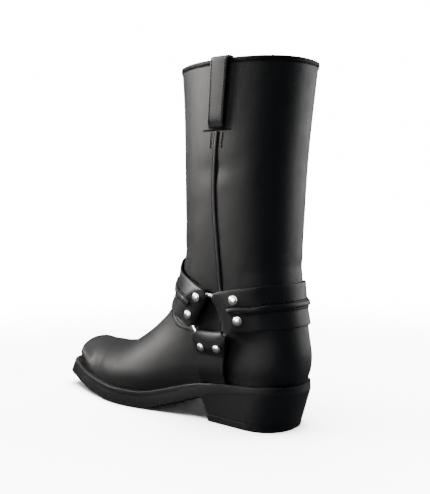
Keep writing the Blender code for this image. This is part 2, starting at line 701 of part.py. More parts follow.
def make_strap(strap, backward):
    """A strap round the leg with both ends folded round the rings."""
    length = float(strap_middle(strap, backward)[1][-1])
    last = length - 2 * RING_RADIUS
    fold, top = folded_end(), top_stations(last)
    near = np.minimum(top, last - top)
    reach = np.concatenate([fold[:, 0], top, last - fold[::-1, 0]])
    ring_lift = np.concatenate([fold[:, 1], np.full(len(top), BEND), fold[::-1, 1]])
    leg_lift = np.concatenate([fold[:, 2], top_lift(near), fold[::-1, 2]])
    width = np.concatenate([fold[:, 3], np.ones(len(top)), fold[::-1, 3]])
    across = np.linspace(-strap.half, strap.half, ACROSS) * width[:, None]
    points = strap_face(strap, reach, ring_lift, leg_lift, across, length, backward)
    sheet(strap.name, points, STRAP_LEATHER, STRAP_THICKNESS, 0.0)
    make_keeper(strap.name.replace("strap", "keeper"), strap, length, backward)
    for side, place in (("outer", strap.rivets), ("inner", last - strap.rivets)):
        for number, spread in enumerate((strap.spread, -strap.spread), start=1):
            name = f"rivet_{strap.name[6:]}_{side}_{number}"
            make_rivet(name, strap, place, spread, length, backward)


def make_lower_strap(inner):
    """The strap from a ring down to the sole."""
    side = "inner" if inner else "outer"
    fold = folded_end()
    foot = RING_Z - RING_RADIUS - float(seat(LOWER_LINE[0].x)) - 1.6
    top = np.array([5.0, 11.0, 18.0, 24.0, 31.0, foot])
    reach = np.concatenate([fold[:, 0], top])
    taper = 1 + (LOWER_FOOT / LOWER_HALF - 1) * smoothstep(4.0, foot, top)
    across = np.linspace(-LOWER_HALF, LOWER_HALF, ACROSS) * np.concatenate([fold[:, 3], taper])[:, None]
    ring_lift = np.concatenate([fold[:, 1], np.full(len(top), BEND)])
    leg_lift = np.concatenate([fold[:, 2], top_lift(top) - BEHIND_VAMP * smoothstep(30.0, foot, top)])
    points = strap_face(LOWER_STRAP, reach, ring_lift, leg_lift, across, None, inner)
    points[-1, :, 2] = seat(points[-1, :, 0]) + 1.6
    sheet(f"strap_lower_{side}", points, STRAP_LEATHER, STRAP_THICKNESS, 0.0)
    for number, spread in enumerate((LOWER_STRAP.spread, -LOWER_STRAP.spread), start=1):
        make_rivet(f"rivet_lower_{side}_{number}", LOWER_STRAP, LOWER_STRAP.rivets, spread, None, inner)


def make_keeper(name, strap, length, backward):
    """The raised strip along a strap's middle: half round, lying on the strap."""
    last = length - 2 * RING_RADIUS
    reach = top_stations(last)
    reach[0], reach[-1] = strap.keeper, last - strap.keeper
    near = np.minimum(reach, last - reach)
    floor = STRAP_THICKNESS / 2 + GAP + 0.3
    rows = []
    for share, rise in ((-1, 0.0), (-0.92, 0.55), (-0.5, 0.93), (0.5, 0.93), (0.92, 0.55), (1, 0.0)):
        lift = floor + rise * KEEPER_HEIGHT
        across = share * KEEPER_HALF + np.array([-0.01, 0.0, 0.01])
        line = strap_face(strap, reach, BEND + lift + 0 * reach, top_lift(near) + lift, across,
                          length, backward)
        rows.append(line[:, 1])
    loft(name, np.stack(rows, axis=1), STRAP_LEATHER)


def make_rivet(name, strap, place, spread, length, backward):
    """A domed rivet on a strap: half of a flattened ball, turned square to the strap."""
    near = place if length is None else min(place, length - 2 * RING_RADIUS - place)
    reach = np.array([place - 2.0, place, place + 2.0])
    across = np.array([spread - 2.0, spread, spread + 2.0])
    lift = STRAP_THICKNESS / 2 + GAP + 0.15
    patch = strap_face(strap, reach, BEND + lift + 0 * reach,
                       float(top_lift(near)) + lift + 0 * reach, across, length, backward)
    normal = unit(np.cross(patch[2, 1] - patch[0, 1], patch[1, 2] - patch[1, 0]))
    outward = patch[1, 1] - np.array([RING_X, 0.0, RING_Z])
    normal = normal * np.sign(normal @ outward)
    work = bmesh.new()
    bmesh.ops.create_uvsphere(work, u_segments=10, v_segments=4, radius=RIVET_RADIUS * MM)
    bmesh.ops.scale(work, vec=(1, 1, RIVET_HEIGHT / RIVET_RADIUS), verts=work.verts)
    bmesh.ops.bisect_plane(work, geom=work.verts[:] + work.edges[:] + work.faces[:],
                           plane_co=(0, 0, 0), plane_no=(0, 0, 1), clear_inner=True)
    rim = [edge for edge in work.edges if edge.is_boundary]
    bmesh.ops.holes_fill(work, edges=rim, sides=0)
    turn = Vector(normal).to_track_quat("Z", "Y").to_matrix().to_4x4()
    place = Matrix.Translation(Vector(patch[1, 1] * MM)) @ turn
    bmesh.ops.transform(work, matrix=place, verts=work.verts)
    bmesh.ops.recalc_face_normals(work, faces=work.faces)
    mesh = bpy.data.meshes.new(name)
    work.to_mesh(mesh)
    work.free()
    add_object(name, mesh, NICKEL)


def make_ring(inner):
    """A metal ring at the ankle, its plane lying along the leg."""
    frame = ring_frame(inner)
    around = np.linspace(0, 2 * np.pi, 24, endpoint=False)
    section = np.linspace(0, 2 * np.pi, 8, endpoint=False)
    radius = RING_RADIUS + ROD_RADIUS * np.cos(section)
    lift = ROD_RADIUS * np.sin(section)
    spoke = np.cos(around)[:, None] * frame.forward + np.sin(around)[:, None] * frame.up
    points = (frame.centre + radius[None, :, None] * spoke[:, None, :]
              + lift[None, :, None] * frame.normal)
    loft("ring_inner" if inner else "ring_outer", points, NICKEL, closed=True)


# Collar, pull straps and side seams

def make_binding():
    """The folded edge round the rim: a U-shaped section carried round the collar."""
    turns = np.arange(COLUMNS) / COLUMNS
    rim = RINGS[-1].front_z
    depth = 1 - BINDING_DEPTH / (rim - RINGS[-2].front_z) / (len(RINGS) - 1)
    top, low = surface(np.ones(COLUMNS), turns), surface(np.full(COLUMNS, depth), turns)
    top_out = normals(np.ones(COLUMNS), turns)
    low_out = normals(np.full(COLUMNS, depth), turns)
    rise = np.array([0.0, 0.0, 1.0])
    near, far = GAP, GAP + BINDING_THICKNESS
    inside = WALL + 2 * GAP
    lining = inside + BINDING_THICKNESS
    rows = [low + low_out * far,
            top + top_out * far + rise * far,
            top - top_out * lining + rise * far,
            low - low_out * lining,
            low - low_out * inside,
            top - top_out * inside + rise * near,
            top + top_out * near + rise * near,
            low + low_out * near]
    loft("collar_binding", np.stack(rows, axis=1), LEATHER, closed=True)


def make_pull_strap(inner):
    """A pull strap: up the outside from its seam, over the rim and down inside."""
    rim = RINGS[-1].front_z
    over = [(rim, -1.3 + 5.7 * share, rise) for share, rise in
            ((1.0, 0.0), (0.92, 1.3), (0.66, 2.2), (0.0, 2.5), (-0.66, 2.2), (-0.92, 1.3), (-1.0, 0.0))]
    path = [(PULL_BOTTOM, 1.5, 0), (284.0, 3.2, 0), (300.0, 4.1, 0), (318.0, 4.4, 0)] + over
    path += [(326.0, -6.2, 0), (312.0, -4.8, 0), (PULL_INSIDE, -4.0, 0)]
    path = np.array(path)
    half = PULL_HALF_FOOT + (PULL_HALF_TOP - PULL_HALF_FOOT) * smoothstep(PULL_BOTTOM, rim, path[:, :1])
    across = np.linspace(-1, 1, 4) * half
    z = path[:, :1] + 0 * across
    x = spline(column(SEAM_LINE, "z"), column(SEAM_LINE, "x"), z) + across
    height, turn = side_point(x, z)
    turn = 1 - turn if inner else turn
    points = surface(height, turn) + normals(height, turn) * path[:, 1, None, None]
    points[..., 2] += path[:, 2, None]
    name = "pull_strap_inner" if inner else "pull_strap_outer"
    sheet(name, points, STRAP_LEATHER, PULL_THICKNESS, 0.0)


def make_piping(inner):
    """The raised seam down one side of the shaft."""
    z = np.linspace(PIPING_BOTTOM, PIPING_TOP, 12)
    x = spline(column(SEAM_LINE, "z"), column(SEAM_LINE, "x"), z)
    rows = []
    for across, lift in ((-1, 0.0), (-1, 0.6), (-0.5, 1.0), (0.5, 1.0), (1, 0.6), (1, 0.0)):
        height, turn = side_point(x + across * PIPING_HALF, z)
        turn = 1 - turn if inner else turn
        over = GAP + 0.1 + lift * PIPING_HEIGHT
        rows.append(surface(height, turn) + normals(height, turn) * over)
    loft("side_piping_inner" if inner else "side_piping_outer", np.stack(rows, axis=1), LEATHER)


def build():
    """Make every piece of the boot."""
    make_upper()
    make_soles()
    make_binding()
    make_strap(FRONT_STRAP, False)
    make_strap(REAR_STRAP, True)
    for inner in (False, True):
        make_lower_strap(inner)
        make_ring(inner)
        make_pull_strap(inner)
        make_piping(inner)


for old in list(bpy.data.objects):
    bpy.data.objects.remove(old, do_unlink=True)
bpy.context.scene.collection.children.link(parts)
build()
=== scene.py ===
# %% [markdown]
# # A western harness boot
# This lesson dresses a left boot of black oiled leather: a square toe, a tall straight shaft with a
# pull strap at each side, and a harness of three straps folded round a metal ring at the ankle.
# The solids are already packed in a fixed frame. Here each one gets a finer surface in the same
# place, a finish made of shader nodes, and then a plain studio to stand in.

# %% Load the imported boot
import json
import math
from collections import namedtuple

import bmesh
import bpy
import numpy as np
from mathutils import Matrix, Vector

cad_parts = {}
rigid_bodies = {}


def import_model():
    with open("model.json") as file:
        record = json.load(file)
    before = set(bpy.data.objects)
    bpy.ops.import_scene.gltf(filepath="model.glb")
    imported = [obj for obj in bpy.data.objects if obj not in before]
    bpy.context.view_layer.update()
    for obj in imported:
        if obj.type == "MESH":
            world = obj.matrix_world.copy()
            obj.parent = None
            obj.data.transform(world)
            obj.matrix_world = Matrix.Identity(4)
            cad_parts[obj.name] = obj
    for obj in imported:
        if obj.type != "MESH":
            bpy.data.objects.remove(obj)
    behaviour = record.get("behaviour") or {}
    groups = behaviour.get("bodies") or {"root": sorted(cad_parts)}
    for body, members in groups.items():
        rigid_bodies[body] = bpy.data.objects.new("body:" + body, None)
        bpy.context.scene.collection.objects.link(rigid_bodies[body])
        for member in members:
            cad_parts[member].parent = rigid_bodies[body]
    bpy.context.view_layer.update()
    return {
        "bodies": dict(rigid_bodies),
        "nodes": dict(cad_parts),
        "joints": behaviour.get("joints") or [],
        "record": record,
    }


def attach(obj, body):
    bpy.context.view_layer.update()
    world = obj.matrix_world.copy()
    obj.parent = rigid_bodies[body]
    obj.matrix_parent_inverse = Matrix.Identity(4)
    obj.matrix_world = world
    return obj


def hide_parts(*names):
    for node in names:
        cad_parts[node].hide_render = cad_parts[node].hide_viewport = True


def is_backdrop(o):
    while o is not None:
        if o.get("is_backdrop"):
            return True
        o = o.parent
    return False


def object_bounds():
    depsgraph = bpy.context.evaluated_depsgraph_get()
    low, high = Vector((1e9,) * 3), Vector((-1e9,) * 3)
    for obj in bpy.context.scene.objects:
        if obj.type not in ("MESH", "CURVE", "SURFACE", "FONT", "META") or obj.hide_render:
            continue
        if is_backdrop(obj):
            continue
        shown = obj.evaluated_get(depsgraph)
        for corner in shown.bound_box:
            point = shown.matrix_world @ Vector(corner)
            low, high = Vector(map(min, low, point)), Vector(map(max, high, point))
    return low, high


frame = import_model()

MM = 0.001

# %% [markdown]
# ## Curves from short tables
# A last maker measures a foot at a few stations and lets a batten run smoothly through them. A
# cubic curve through a short table does the same, and it works on whole arrays at once. Sculpting
# would also give a boot, but then no other piece could ask the surface where it lies.

# %% Curve helpers


def column(rows, name):
    """One named column of a table, as an array."""
    return np.array([getattr(row, name) for row in rows], float)


def spline(knots, values, at):
    """A smooth curve through the knots: cubic pieces with slopes weighted from both neighbours."""
    knots, values = np.asarray(knots, float), np.asarray(values, float)
    width = np.diff(knots)
    rise = np.diff(values) / width
    slope = np.concatenate([rise[:1], (rise[:-1] * width[1:] + rise[1:] * width[:-1])
                            / (width[1:] + width[:-1]), rise[-1:]])
    at = np.clip(np.asarray(at, float), knots[0], knots[-1])
    i = np.clip(np.searchsorted(knots, at, side="right") - 1, 0, len(knots) - 2)
    t = (at - knots[i]) / width[i]
    return ((1 + 2 * t) * (1 - t) ** 2 * values[i] + t * (1 - t) ** 2 * width[i] * slope[i]
            + t * t * (3 - 2 * t) * values[i + 1] + t * t * (t - 1) * width[i] * slope[i + 1])


def table(rows, key, name, at):
    """A table's column as a smooth function of its key column."""
    return spline(column(rows, key), column(rows, name), at)


def smoothstep(low, high, at):
    """0 below low, 1 above high, and 3t^2 - 2t^3 between."""
    t = np.clip((np.asarray(at, float) - low) / (high - low), 0, 1)
    return t * t * (3 - 2 * t)


def rounding(depth, reach, square):
    """Share of the full breadth at a depth behind an edge: a superellipse quarter of that reach."""
    away = 1 - np.clip(depth / reach, 0, 1)
    return (1 - away ** square) ** (1 / square)


def unit(vectors):
    """Vectors scaled to length one."""
    return vectors / np.maximum(np.linalg.norm(vectors, axis=-1, keepdims=True), 1e-9)


print("smoothstep half way:", float(smoothstep(0, 1, 0.5)))

# %% [markdown]
# ## The sole's line
# The sole is flat under the ball, rises at the toe and climbs over the arch to the heel seat. One
# table gives its underside, thickness and breadth along the foot, in millimetres. The sections
# stand square to the underside, as a sole's edge does after it is trimmed.

# %% Sole table and functions
BOOT_HEIGHT, TOE_TIP, HEEL_TIP, HEEL_LENGTH = 340.0, 261.0, -49.5, 78.0
TOE_SPRING, TOE_LEAN, WALL, GAP = 17.2, 0.22, 2.4, 0.3
VAMP_STEP, VAMP_BACK, VAMP_FULL = 1.2, 24, 46
HEEL_SEAT, LIFT_THICKNESS, MIDSOLE_BACK = 36.0, 6.5, 30.0
RIB_FIRST, RIB_LAST, RIB_PITCH, RIB_DEPTH = 48.5, 101.0, 3.4, 1.6

Sole = namedtuple("Sole", "x z thickness outer inner centre")
SOLE = [
    Sole(HEEL_TIP, HEEL_SEAT, 7.7, 35.5, 35.5, 0), Sole(-30, 35.2, 7.6, 36.0, 36.0, 0),
    Sole(-10, 33.4, 7.6, 36.5, 36.5, 0), Sole(12, 30.9, 8.9, 36.5, 36.0, 0),
    Sole(30, 27.2, 11.0, 36.5, 35.0, 0), Sole(44, 22.6, 13.6, 36.5, 34.0, 0),
    Sole(58, 17.8, 15.1, 38.0, 33.5, 0), Sole(76, 11.6, 16.2, 41.0, 34.5, 0),
    Sole(95, 5.6, 16.6, 44.5, 38.0, 0), Sole(110, 1.8, 17.0, 47.0, 42.0, 0),
    Sole(122, 0.0, 17.0, 49.0, 45.0, 0), Sole(131, 0.0, 16.8, 50.5, 47.0, 0),
    Sole(149, 0.0, 16.5, 52.0, 49.5, 0), Sole(166, 0.4, 16.3, 51.5, 51.0, -0.5),
    Sole(185, 1.9, 16.0, 48.5, 50.5, -1.5), Sole(205, 4.2, 15.8, 44.5, 47.5, -2),
    Sole(230, 8.5, 15.6, 38.0, 41.0, -3), Sole(245, 12.4, 15.5, 34.0, 36.5, -3.5),
    Sole(TOE_TIP, TOE_SPRING, 15.5, 32.0, 34.0, -4),
]


def sole_floor(x):
    """Height of the sole's underside, never below the floor."""
    return np.maximum(table(SOLE, "x", "z", x), 0.0)


def sole_line(x, lift):
    """Points (x, z) at a height lift above the underside, measured square to it."""
    step = 0.5
    rise = (sole_floor(x + step) - sole_floor(x - step)) / (2 * step)
    length = np.hypot(1, rise)
    lean = rise / length + TOE_LEAN * smoothstep(232.0, TOE_TIP, x)
    return x - lift * lean, sole_floor(x) + lift / length


def sole_breadth(x, side, inset):
    """Half breadth at x to one side: the table's, rounded off at the heel and the toe."""
    half = table(SOLE, "x", "outer" if side > 0 else "inner", x) - inset
    back = rounding(x - HEEL_TIP - inset, 34, 2.2)
    return half * back * rounding(TOE_TIP - inset - x, 19, 3.8)


SOLE_X = np.linspace(HEEL_TIP, TOE_TIP, 400)
SEAT_X, SEAT_Z = sole_line(SOLE_X, table(SOLE, "x", "thickness", SOLE_X))


def seat(x):
    """Height of the sole's top, where the upper stands."""
    return np.interp(x, SEAT_X, SEAT_Z)


print("sole top under the ball:", round(float(seat(140.0)), 1), "mm")

# %% [markdown]
# ## The upper's surface
# The upper is one skin over a last and a leg. Each row of the table below is a ring of that skin,
# from the back profile to the front profile, and a second table gives the breadth to each side.
# Two shares then name every place on the boot: height from sole to rim, and turn round it. Straps,
# seams and stitches all ask this one function where the leather is.

# %% Upper tables
Ring = namedtuple("Ring", "name front_x front_z back_z rounding square")
RINGS = [
    Ring("toe foot", 244.0, 29.3, 41.0, 20, 3.4), Ring("toe wall", 247.5, 37.0, 48.0, 21, 3.3),
    Ring("toe edge", 245.2, 47.5, 54.0, 25, 2.8), Ring("toe top", 237.0, 53.4, 60.0, 37, 2.0),
    Ring("toe box", 215.0, 53.7, 66.0, 46, 1.8), Ring("toe crease", 191.0, 54.3, 72.0, 48, 2.0),
    Ring("ball", 168.0, 58.2, 79.0, 50, 2.1), Ring("vamp", 149.0, 68.0, 88.0, 57, 2.0),
    Ring("instep", 129.0, 82.5, 98.0, 65, 1.9), Ring("throat", 109.0, 101.5, 112.0, 66, 1.9),
    Ring("ankle bend", 96.0, 124.0, 132.0, 62, 2.0), Ring("ankle", 88.5, 150.0, 158.0, 60, 2.0),
    Ring("shaft foot", 85.3, 185.0, 190.0, 61, 2.0), Ring("calf", 84.2, 245.0, 250.0, 63, 2.0),
    Ring("shaft", 84.4, 298.0, 300.0, 67, 2.0),
    Ring("rim", 86.5, BOOT_HEIGHT - 1.5, BOOT_HEIGHT - 1.5, 70, 2.0),
]
Back = namedtuple("Back", "z x rounding")
BACK = [
    Back(41.0, -46.0, 34), Back(52.0, -50.0, 34), Back(66.0, -51.5, 35), Back(90.0, -48.0, 38),
    Back(115.0, -42.5, 42), Back(140.0, -39.0, 46), Back(165.0, -38.5, 50), Back(200.0, -40.0, 54),
    Back(250.0, -43.0, 60), Back(300.0, -48.5, 66), Back(BOOT_HEIGHT, -53.5, 70),
]
Plan = namedtuple("Plan", "x outer inner centre")
PLAN = [
    Plan(-60, 32.5, 32.5, 0), Plan(-20, 33.0, 33.0, 0), Plan(30, 34.0, 33.0, 0),
    Plan(60, 36.5, 33.0, 0), Plan(90, 41.0, 35.0, 0), Plan(120, 46.0, 40.5, 0),
    Plan(150, 48.5, 45.5, 0), Plan(180, 46.5, 46.5, -1), Plan(205, 41.0, 43.5, -2),
    Plan(230, 32.5, 35.0, -3), Plan(255, 27.5, 29.5, -4),
]
Leg = namedtuple("Leg", "z half")
LEG = [
    Leg(70, 34.5), Leg(100, 36.5), Leg(130, 39.0), Leg(160, 41.5), Leg(200, 44.5),
    Leg(250, 47.5), Leg(300, 50.0), Leg(BOOT_HEIGHT, 52.0),
]
Edge = namedtuple("Edge", "turn height")
VAMP_EDGE = [Edge(0.0, 0.50), Edge(0.20, 0.51), Edge(0.27, 0.547), Edge(0.30, 0.554),
             Edge(0.325, 0.564), Edge(0.36, 0.584), Edge(0.40, 0.607), Edge(0.5, 0.63)]
print(len(RINGS), "rings,", len(BACK), "back stations,", len(PLAN), "plan stations")

# %% Upper functions
SOFT, LEVEL_TOE, BACK_SQUARE = 4.0, 1.6, 2.3
LEG_FROM, LEG_FULL, TUCK_HEIGHT, TUCK_SHARE = 60, 150, 22, 0.10


def ring_value(name, at):
    """A column of the rings' table as a smooth function of the ring's number."""
    return spline(np.arange(len(RINGS)), column(RINGS, name), at)


PROFILE = np.linspace(0, len(RINGS) - 1, 600)
FRONT_X, FRONT_Z = ring_value("front_x", PROFILE), ring_value("front_z", PROFILE)
FRONT_REACH, FRONT_SQUARE = ring_value("rounding", PROFILE), ring_value("square", PROFILE)
BACK_Z = np.linspace(BACK[0].z, BACK[-1].z, 400)
BACK_X, BACK_REACH = table(BACK, "z", "x", BACK_Z), table(BACK, "z", "rounding", BACK_Z)


def to_piece_of_line(x, z, line_x, line_z, start):
    """Distance of points from the straight piece of a line that begins at index start."""
    start = np.clip(start, 0, len(line_x) - 2)
    along_x, along_z = np.diff(line_x)[start], np.diff(line_z)[start]
    away_x, away_z = x - line_x[start], z - line_z[start]
    share = np.clip((away_x * along_x + away_z * along_z) / (along_x ** 2 + along_z ** 2), 0, 1)
    return np.hypot(away_x - share * along_x, away_z - share * along_z)


def edge_share(x, z, line_x, line_z, reach, square):
    """Share of the full breadth behind a profile line: rounding of the distance from it.

    Reach and square are means over the line, weighted by exp(-(distance - least) / SOFT).
    """
    index = np.empty(x.size, int)
    own_reach, own_square = np.empty(x.size), np.empty(x.size)
    for block in np.array_split(np.arange(x.size), x.size // 4000 + 1):
        away = np.hypot(x[block, None] - line_x, z[block, None] - line_z)
        index[block] = away.argmin(axis=1)
        weight = np.exp((away.min(axis=1, keepdims=True) - away) / SOFT)
        total = weight.sum(axis=1)
        own_reach[block], own_square[block] = weight @ reach / total, weight @ square / total
    depth = np.minimum(to_piece_of_line(x, z, line_x, line_z, index - 1),
                       to_piece_of_line(x, z, line_x, line_z, index))
    return rounding(depth, own_reach, own_square)


def half_breadth(x, z, side):
    """Half breadth at (x, z): foot plan or leg, rounded off toward the front and back profiles."""
    shape = x.shape
    x, z = x.ravel(), z.ravel()
    share = edge_share(x, z, FRONT_X, FRONT_Z, FRONT_REACH, FRONT_SQUARE)
    share = share * edge_share(x, z, BACK_X, BACK_Z, BACK_REACH, np.full(len(BACK_X), BACK_SQUARE))
    foot = table(PLAN, "x", "outer" if side > 0 else "inner", x)
    leg = table(LEG, "z", "half", z)
    to_leg = smoothstep(LEG_FROM, LEG_FULL, z)
    tuck = np.clip(1 - (z - seat(x)) / TUCK_HEIGHT, 0, 1)
    half = (foot * (1 - to_leg) + leg * to_leg) * (1 - TUCK_SHARE * tuck ** 2)
    return (half * share).reshape(shape)


def ring_path(height, turn):
    """The side view (x, z) of the rings: from back to front by (1 - cos) of the turn.

    z falls to the front by 1 - (1 - share) ** LEVEL_TOE, so it is level there and stays in the profile.
    """
    height, turn = np.broadcast_arrays(np.asarray(height, float), np.asarray(turn, float) % 1.0)
    ring = height * (len(RINGS) - 1)
    front_x, front_z, back_z = (ring_value(name, ring) for name in ("front_x", "front_z", "back_z"))
    along = (1 - np.cos(2 * np.pi * turn)) / 2
    first = RINGS[0]
    foot_x = BACK[0].x + (first.front_x - BACK[0].x) * along
    fall = 1 - (1 - along) ** LEVEL_TOE
    straight = first.back_z + (first.front_z - first.back_z) * fall
    rise = seat(foot_x) + GAP - straight - along ** 8 * (seat(first.front_x) + GAP - first.front_z)
    settle = np.clip(1 - (back_z - first.back_z) / 70, 0, 1) ** 1.5
    back_x = table(BACK, "z", "x", back_z + settle * (seat(BACK[0].x) + GAP - first.back_z))
    x = back_x + (front_x - back_x) * along
    return x, back_z + (front_z - back_z) * fall + settle * rise


def surface(height, turn):
    """Points on the upper's outer face: the side view, with the half breadth as y."""
    height, turn = np.broadcast_arrays(np.asarray(height, float), np.asarray(turn, float) % 1.0)
    x, z = ring_path(height, turn)
    centre = table(PLAN, "x", "centre", x) * np.clip(1 - (z - 60) / 60, 0, 1)
    y = centre + np.where(turn <= 0.5, half_breadth(x, z, 1), -half_breadth(x, z, -1))
    return np.stack([x, y, z], axis=-1)


def normals(height, turn):
    """Outward normals: the cross product of small steps up and round the surface."""
    height, turn = np.broadcast_arrays(np.asarray(height, float), np.asarray(turn, float))
    low, high = np.clip(height - 0.004, 0, 1), np.clip(height + 0.004, 0, 1)
    up = surface(high, turn) - surface(low, turn)
    return unit(np.cross(up, surface(height, turn + 0.004) - surface(height, turn - 0.004)))


def half_turn(turn):
    """A turn counted from the back on either side, so both sides share one table."""
    return np.minimum(turn % 1.0, 1 - turn % 1.0)


def vamp_edge(turn):
    """Height share of the vamp's edge."""
    return table(VAMP_EDGE, "turn", "height", half_turn(turn))


def vamp_cover(points):
    """How far the vamp's thickness is laid on: it begins under the lower straps."""
    return smoothstep(VAMP_BACK, VAMP_FULL, points[..., 0])


def halve(test, low, high):
    """Where test changes from true to false between low and high, by halving."""
    for _ in range(26):
        middle = (low + high) / 2
        below = test(middle)
        low, high = np.where(below, middle, low), np.where(below, high, middle)
    return (low + high) / 2


def side_point(x, z):
    """Height share and turn of the outer side's points at (x, z), by taking turns at halving."""
    x, z = np.broadcast_arrays(np.asarray(x, float), np.asarray(z, float))
    turn = np.full(x.shape, 0.25)
    for _ in range(8):
        height = halve(lambda at: ring_path(at, turn)[1] < z, np.zeros(x.shape), np.ones(x.shape))
        turn = halve(lambda at: ring_path(height, at)[0] < x, np.zeros(x.shape), np.full(x.shape, 0.5))
    return height, turn


SIDES = (("outer", False), ("inner", True))


def side_place(x, z, inner):
    """Height share and turn at (x, z) on the outer side, or on the inner side by the mirrored turn."""
    height, turn = side_point(x, z)
    return height, 1 - turn if inner else turn


print("toe point of the upper:", surface(0.1, 0.5).round(1))

# %% [markdown]
# ## From arrays to meshes
# Every piece is a grid of points, closed along one or both directions. Quads over a grid follow
# from row and column numbers alone, so the faces are one array too. After that the doubles are
# welded, which closes tips and seams, and the faces are turned outward.

# %% Mesh helpers


def grid_faces(rows, columns, close_rows, close_columns):
    """Quads of a grid: each point with the next in its row and the same two in the next row."""
    i = np.arange(rows if close_rows else rows - 1)[:, None]
    j = np.arange(columns if close_columns else columns - 1)[None, :]
    up, on = (i + 1) % rows, (j + 1) % columns
    quads = [i * columns + j, i * columns + on, up * columns + on, up * columns + j]
    return np.stack(np.broadcast_arrays(*quads), axis=-1).reshape(-1, 4)


def capped(sections):
    """Closed sections with both ends drawn to their own middle, so a grid becomes a solid."""
    first = np.broadcast_to(sections[:1].mean(axis=1, keepdims=True), sections[:1].shape)
    last = np.broadcast_to(sections[-1:].mean(axis=1, keepdims=True), sections[-1:].shape)
    return np.concatenate([first, sections, last])


CREASE = 50


def piece(name, points, faces, finishes, stands_for=(), edge=None, finish_of=None, sharp=None):
    """A mesh from whole arrays that rides on the boot: welded, outward, smooth, with its finish."""
    mesh = bpy.data.meshes.new(name)
    points, faces = points.reshape(-1, 3), np.ascontiguousarray(faces)
    mesh.vertices.add(len(points))
    mesh.vertices.foreach_set("co", (points * MM).ravel())
    mesh.loops.add(faces.size)
    mesh.loops.foreach_set("vertex_index", faces.ravel())
    mesh.polygons.add(len(faces))
    mesh.polygons.foreach_set("loop_start", np.arange(0, faces.size, faces.shape[1]))
    if finish_of is not None:
        mesh.polygons.foreach_set("material_index", finish_of.astype(np.int32))
    mesh.update(calc_edges=True)
    if edge is not None:
        mesh.attributes.new("edge", "FLOAT", "POINT").data.foreach_set("value", edge.ravel())
    work = bmesh.new()
    work.from_mesh(mesh)
    bmesh.ops.remove_doubles(work, verts=work.verts, dist=2e-6)
    bmesh.ops.recalc_face_normals(work, faces=work.faces)
    work.to_mesh(mesh)
    work.free()
    mesh.shade_smooth()
    if sharp is not None:
        mesh.set_sharp_from_angle(angle=math.radians(sharp))
    for finish in finishes if isinstance(finishes, (list, tuple)) else [finishes]:
        mesh.materials.append(finish)
    made = bpy.data.objects.new(name, mesh)
    bpy.context.scene.collection.objects.link(made)
    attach(made, "root")
    if stands_for:
        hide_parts(*stands_for)
    print(f"{name}: {len(mesh.polygons)} faces")


# %% [markdown]
# ## Shared finishes as node groups
# Leather, rubber and thread share a few effects: a grain, wear along edges and a little dust near
# the floor. Each is a node group, built once and set with its own values in each material. The
# groups read the pieces' Object coordinates, in metres, so the grain has its true size anywhere.

# %% Node helpers


def node(tree, kind, sockets=None, **settings):
    """A node of a kind with its settings, and with values on its named or numbered sockets."""
    made = tree.nodes.new(kind)
    for name, value in settings.items():
        setattr(made, name, value)
    for name, value in (sockets or {}).items():
        made.inputs[name].default_value = value
    return made


def new_group(name, inputs, outputs):
    """A shader node group with named sockets: returns the tree, its input and its output node."""
    tree = bpy.data.node_groups.new(name, "ShaderNodeTree")
    for title, kind in inputs:
        tree.interface.new_socket(title, in_out="INPUT", socket_type=kind)
    for title, kind in outputs:
        tree.interface.new_socket(title, in_out="OUTPUT", socket_type=kind)
    return tree, node(tree, "NodeGroupInput"), node(tree, "NodeGroupOutput")


def use_group(tree, group, values=None):
    """A node group placed in a material, with its own values."""
    return node(tree, "ShaderNodeGroup", values, node_tree=group)


def remap(tree, value, low, high, to_low, to_high):
    """A Map Range node from low..high to to_low..to_high, fed by a value."""
    made = node(tree, "ShaderNodeMapRange", {1: low, 2: high, 3: to_low, 4: to_high})
    tree.links.new(value, made.inputs[0])
    return made.outputs[0]


def maths(tree, operation, first, second):
    """A Math node on two sockets or numbers."""
    made = node(tree, "ShaderNodeMath", operation=operation)
    for socket, value in zip(made.inputs, (first, second)):
        if isinstance(value, (int, float)):
            socket.default_value = value
        else:
            tree.links.new(value, socket)
    return made.outputs[0]


def mix(tree, share, first, second):
    """A colour mix: first where share is 0, second where it is 1."""
    made = node(tree, "ShaderNodeMix", data_type="RGBA")
    tree.links.new(share, made.inputs["Factor"])
    for name, value in (("A", first), ("B", second)):
        socket = [s for s in made.inputs if s.name == name and s.type == "RGBA"][0]
        if isinstance(value, tuple):
            socket.default_value = (*value, 1.0)
        else:
            tree.links.new(value, socket)
    return [s for s in made.outputs if s.type == "RGBA"][0]


print("node helpers ready")

# %% Grain group
grain, get, put = new_group("hide_grain", [("Vector", "NodeSocketVector"), ("Fineness", "NodeSocketFloat")],
                            [("Height", "NodeSocketFloat"), ("Tone", "NodeSocketFloat")])
size = node(grain, "ShaderNodeVectorMath", operation="SCALE")
grain.links.new(get.outputs["Vector"], size.inputs[0])
grain.links.new(get.outputs["Fineness"], size.inputs["Scale"])
cells = node(grain, "ShaderNodeTexVoronoi", {"Scale": 950.0, "Smoothness": 0.6}, feature="SMOOTH_F1")
pores = node(grain, "ShaderNodeTexNoise", {"Scale": 2400.0, "Detail": 2.0, "Roughness": 0.6})
cloud = node(grain, "ShaderNodeTexNoise", {"Scale": 45.0, "Detail": 4.0, "Roughness": 0.62})
for texture in (cells, pores):
    grain.links.new(size.outputs[0], texture.inputs["Vector"])
grain.links.new(get.outputs["Vector"], cloud.inputs["Vector"])
domes = remap(grain, cells.outputs["Distance"], 0.0, 0.75, 1.0, 0.0)
fine = maths(grain, "MULTIPLY", pores.outputs["Fac"], 0.45)
grain.links.new(maths(grain, "ADD", domes, fine), put.inputs["Height"])
grain.links.new(remap(grain, cloud.outputs["Fac"], 0.3, 0.72, 0.0, 1.0), put.inputs["Tone"])
print("grain group:", len(grain.nodes), "nodes")

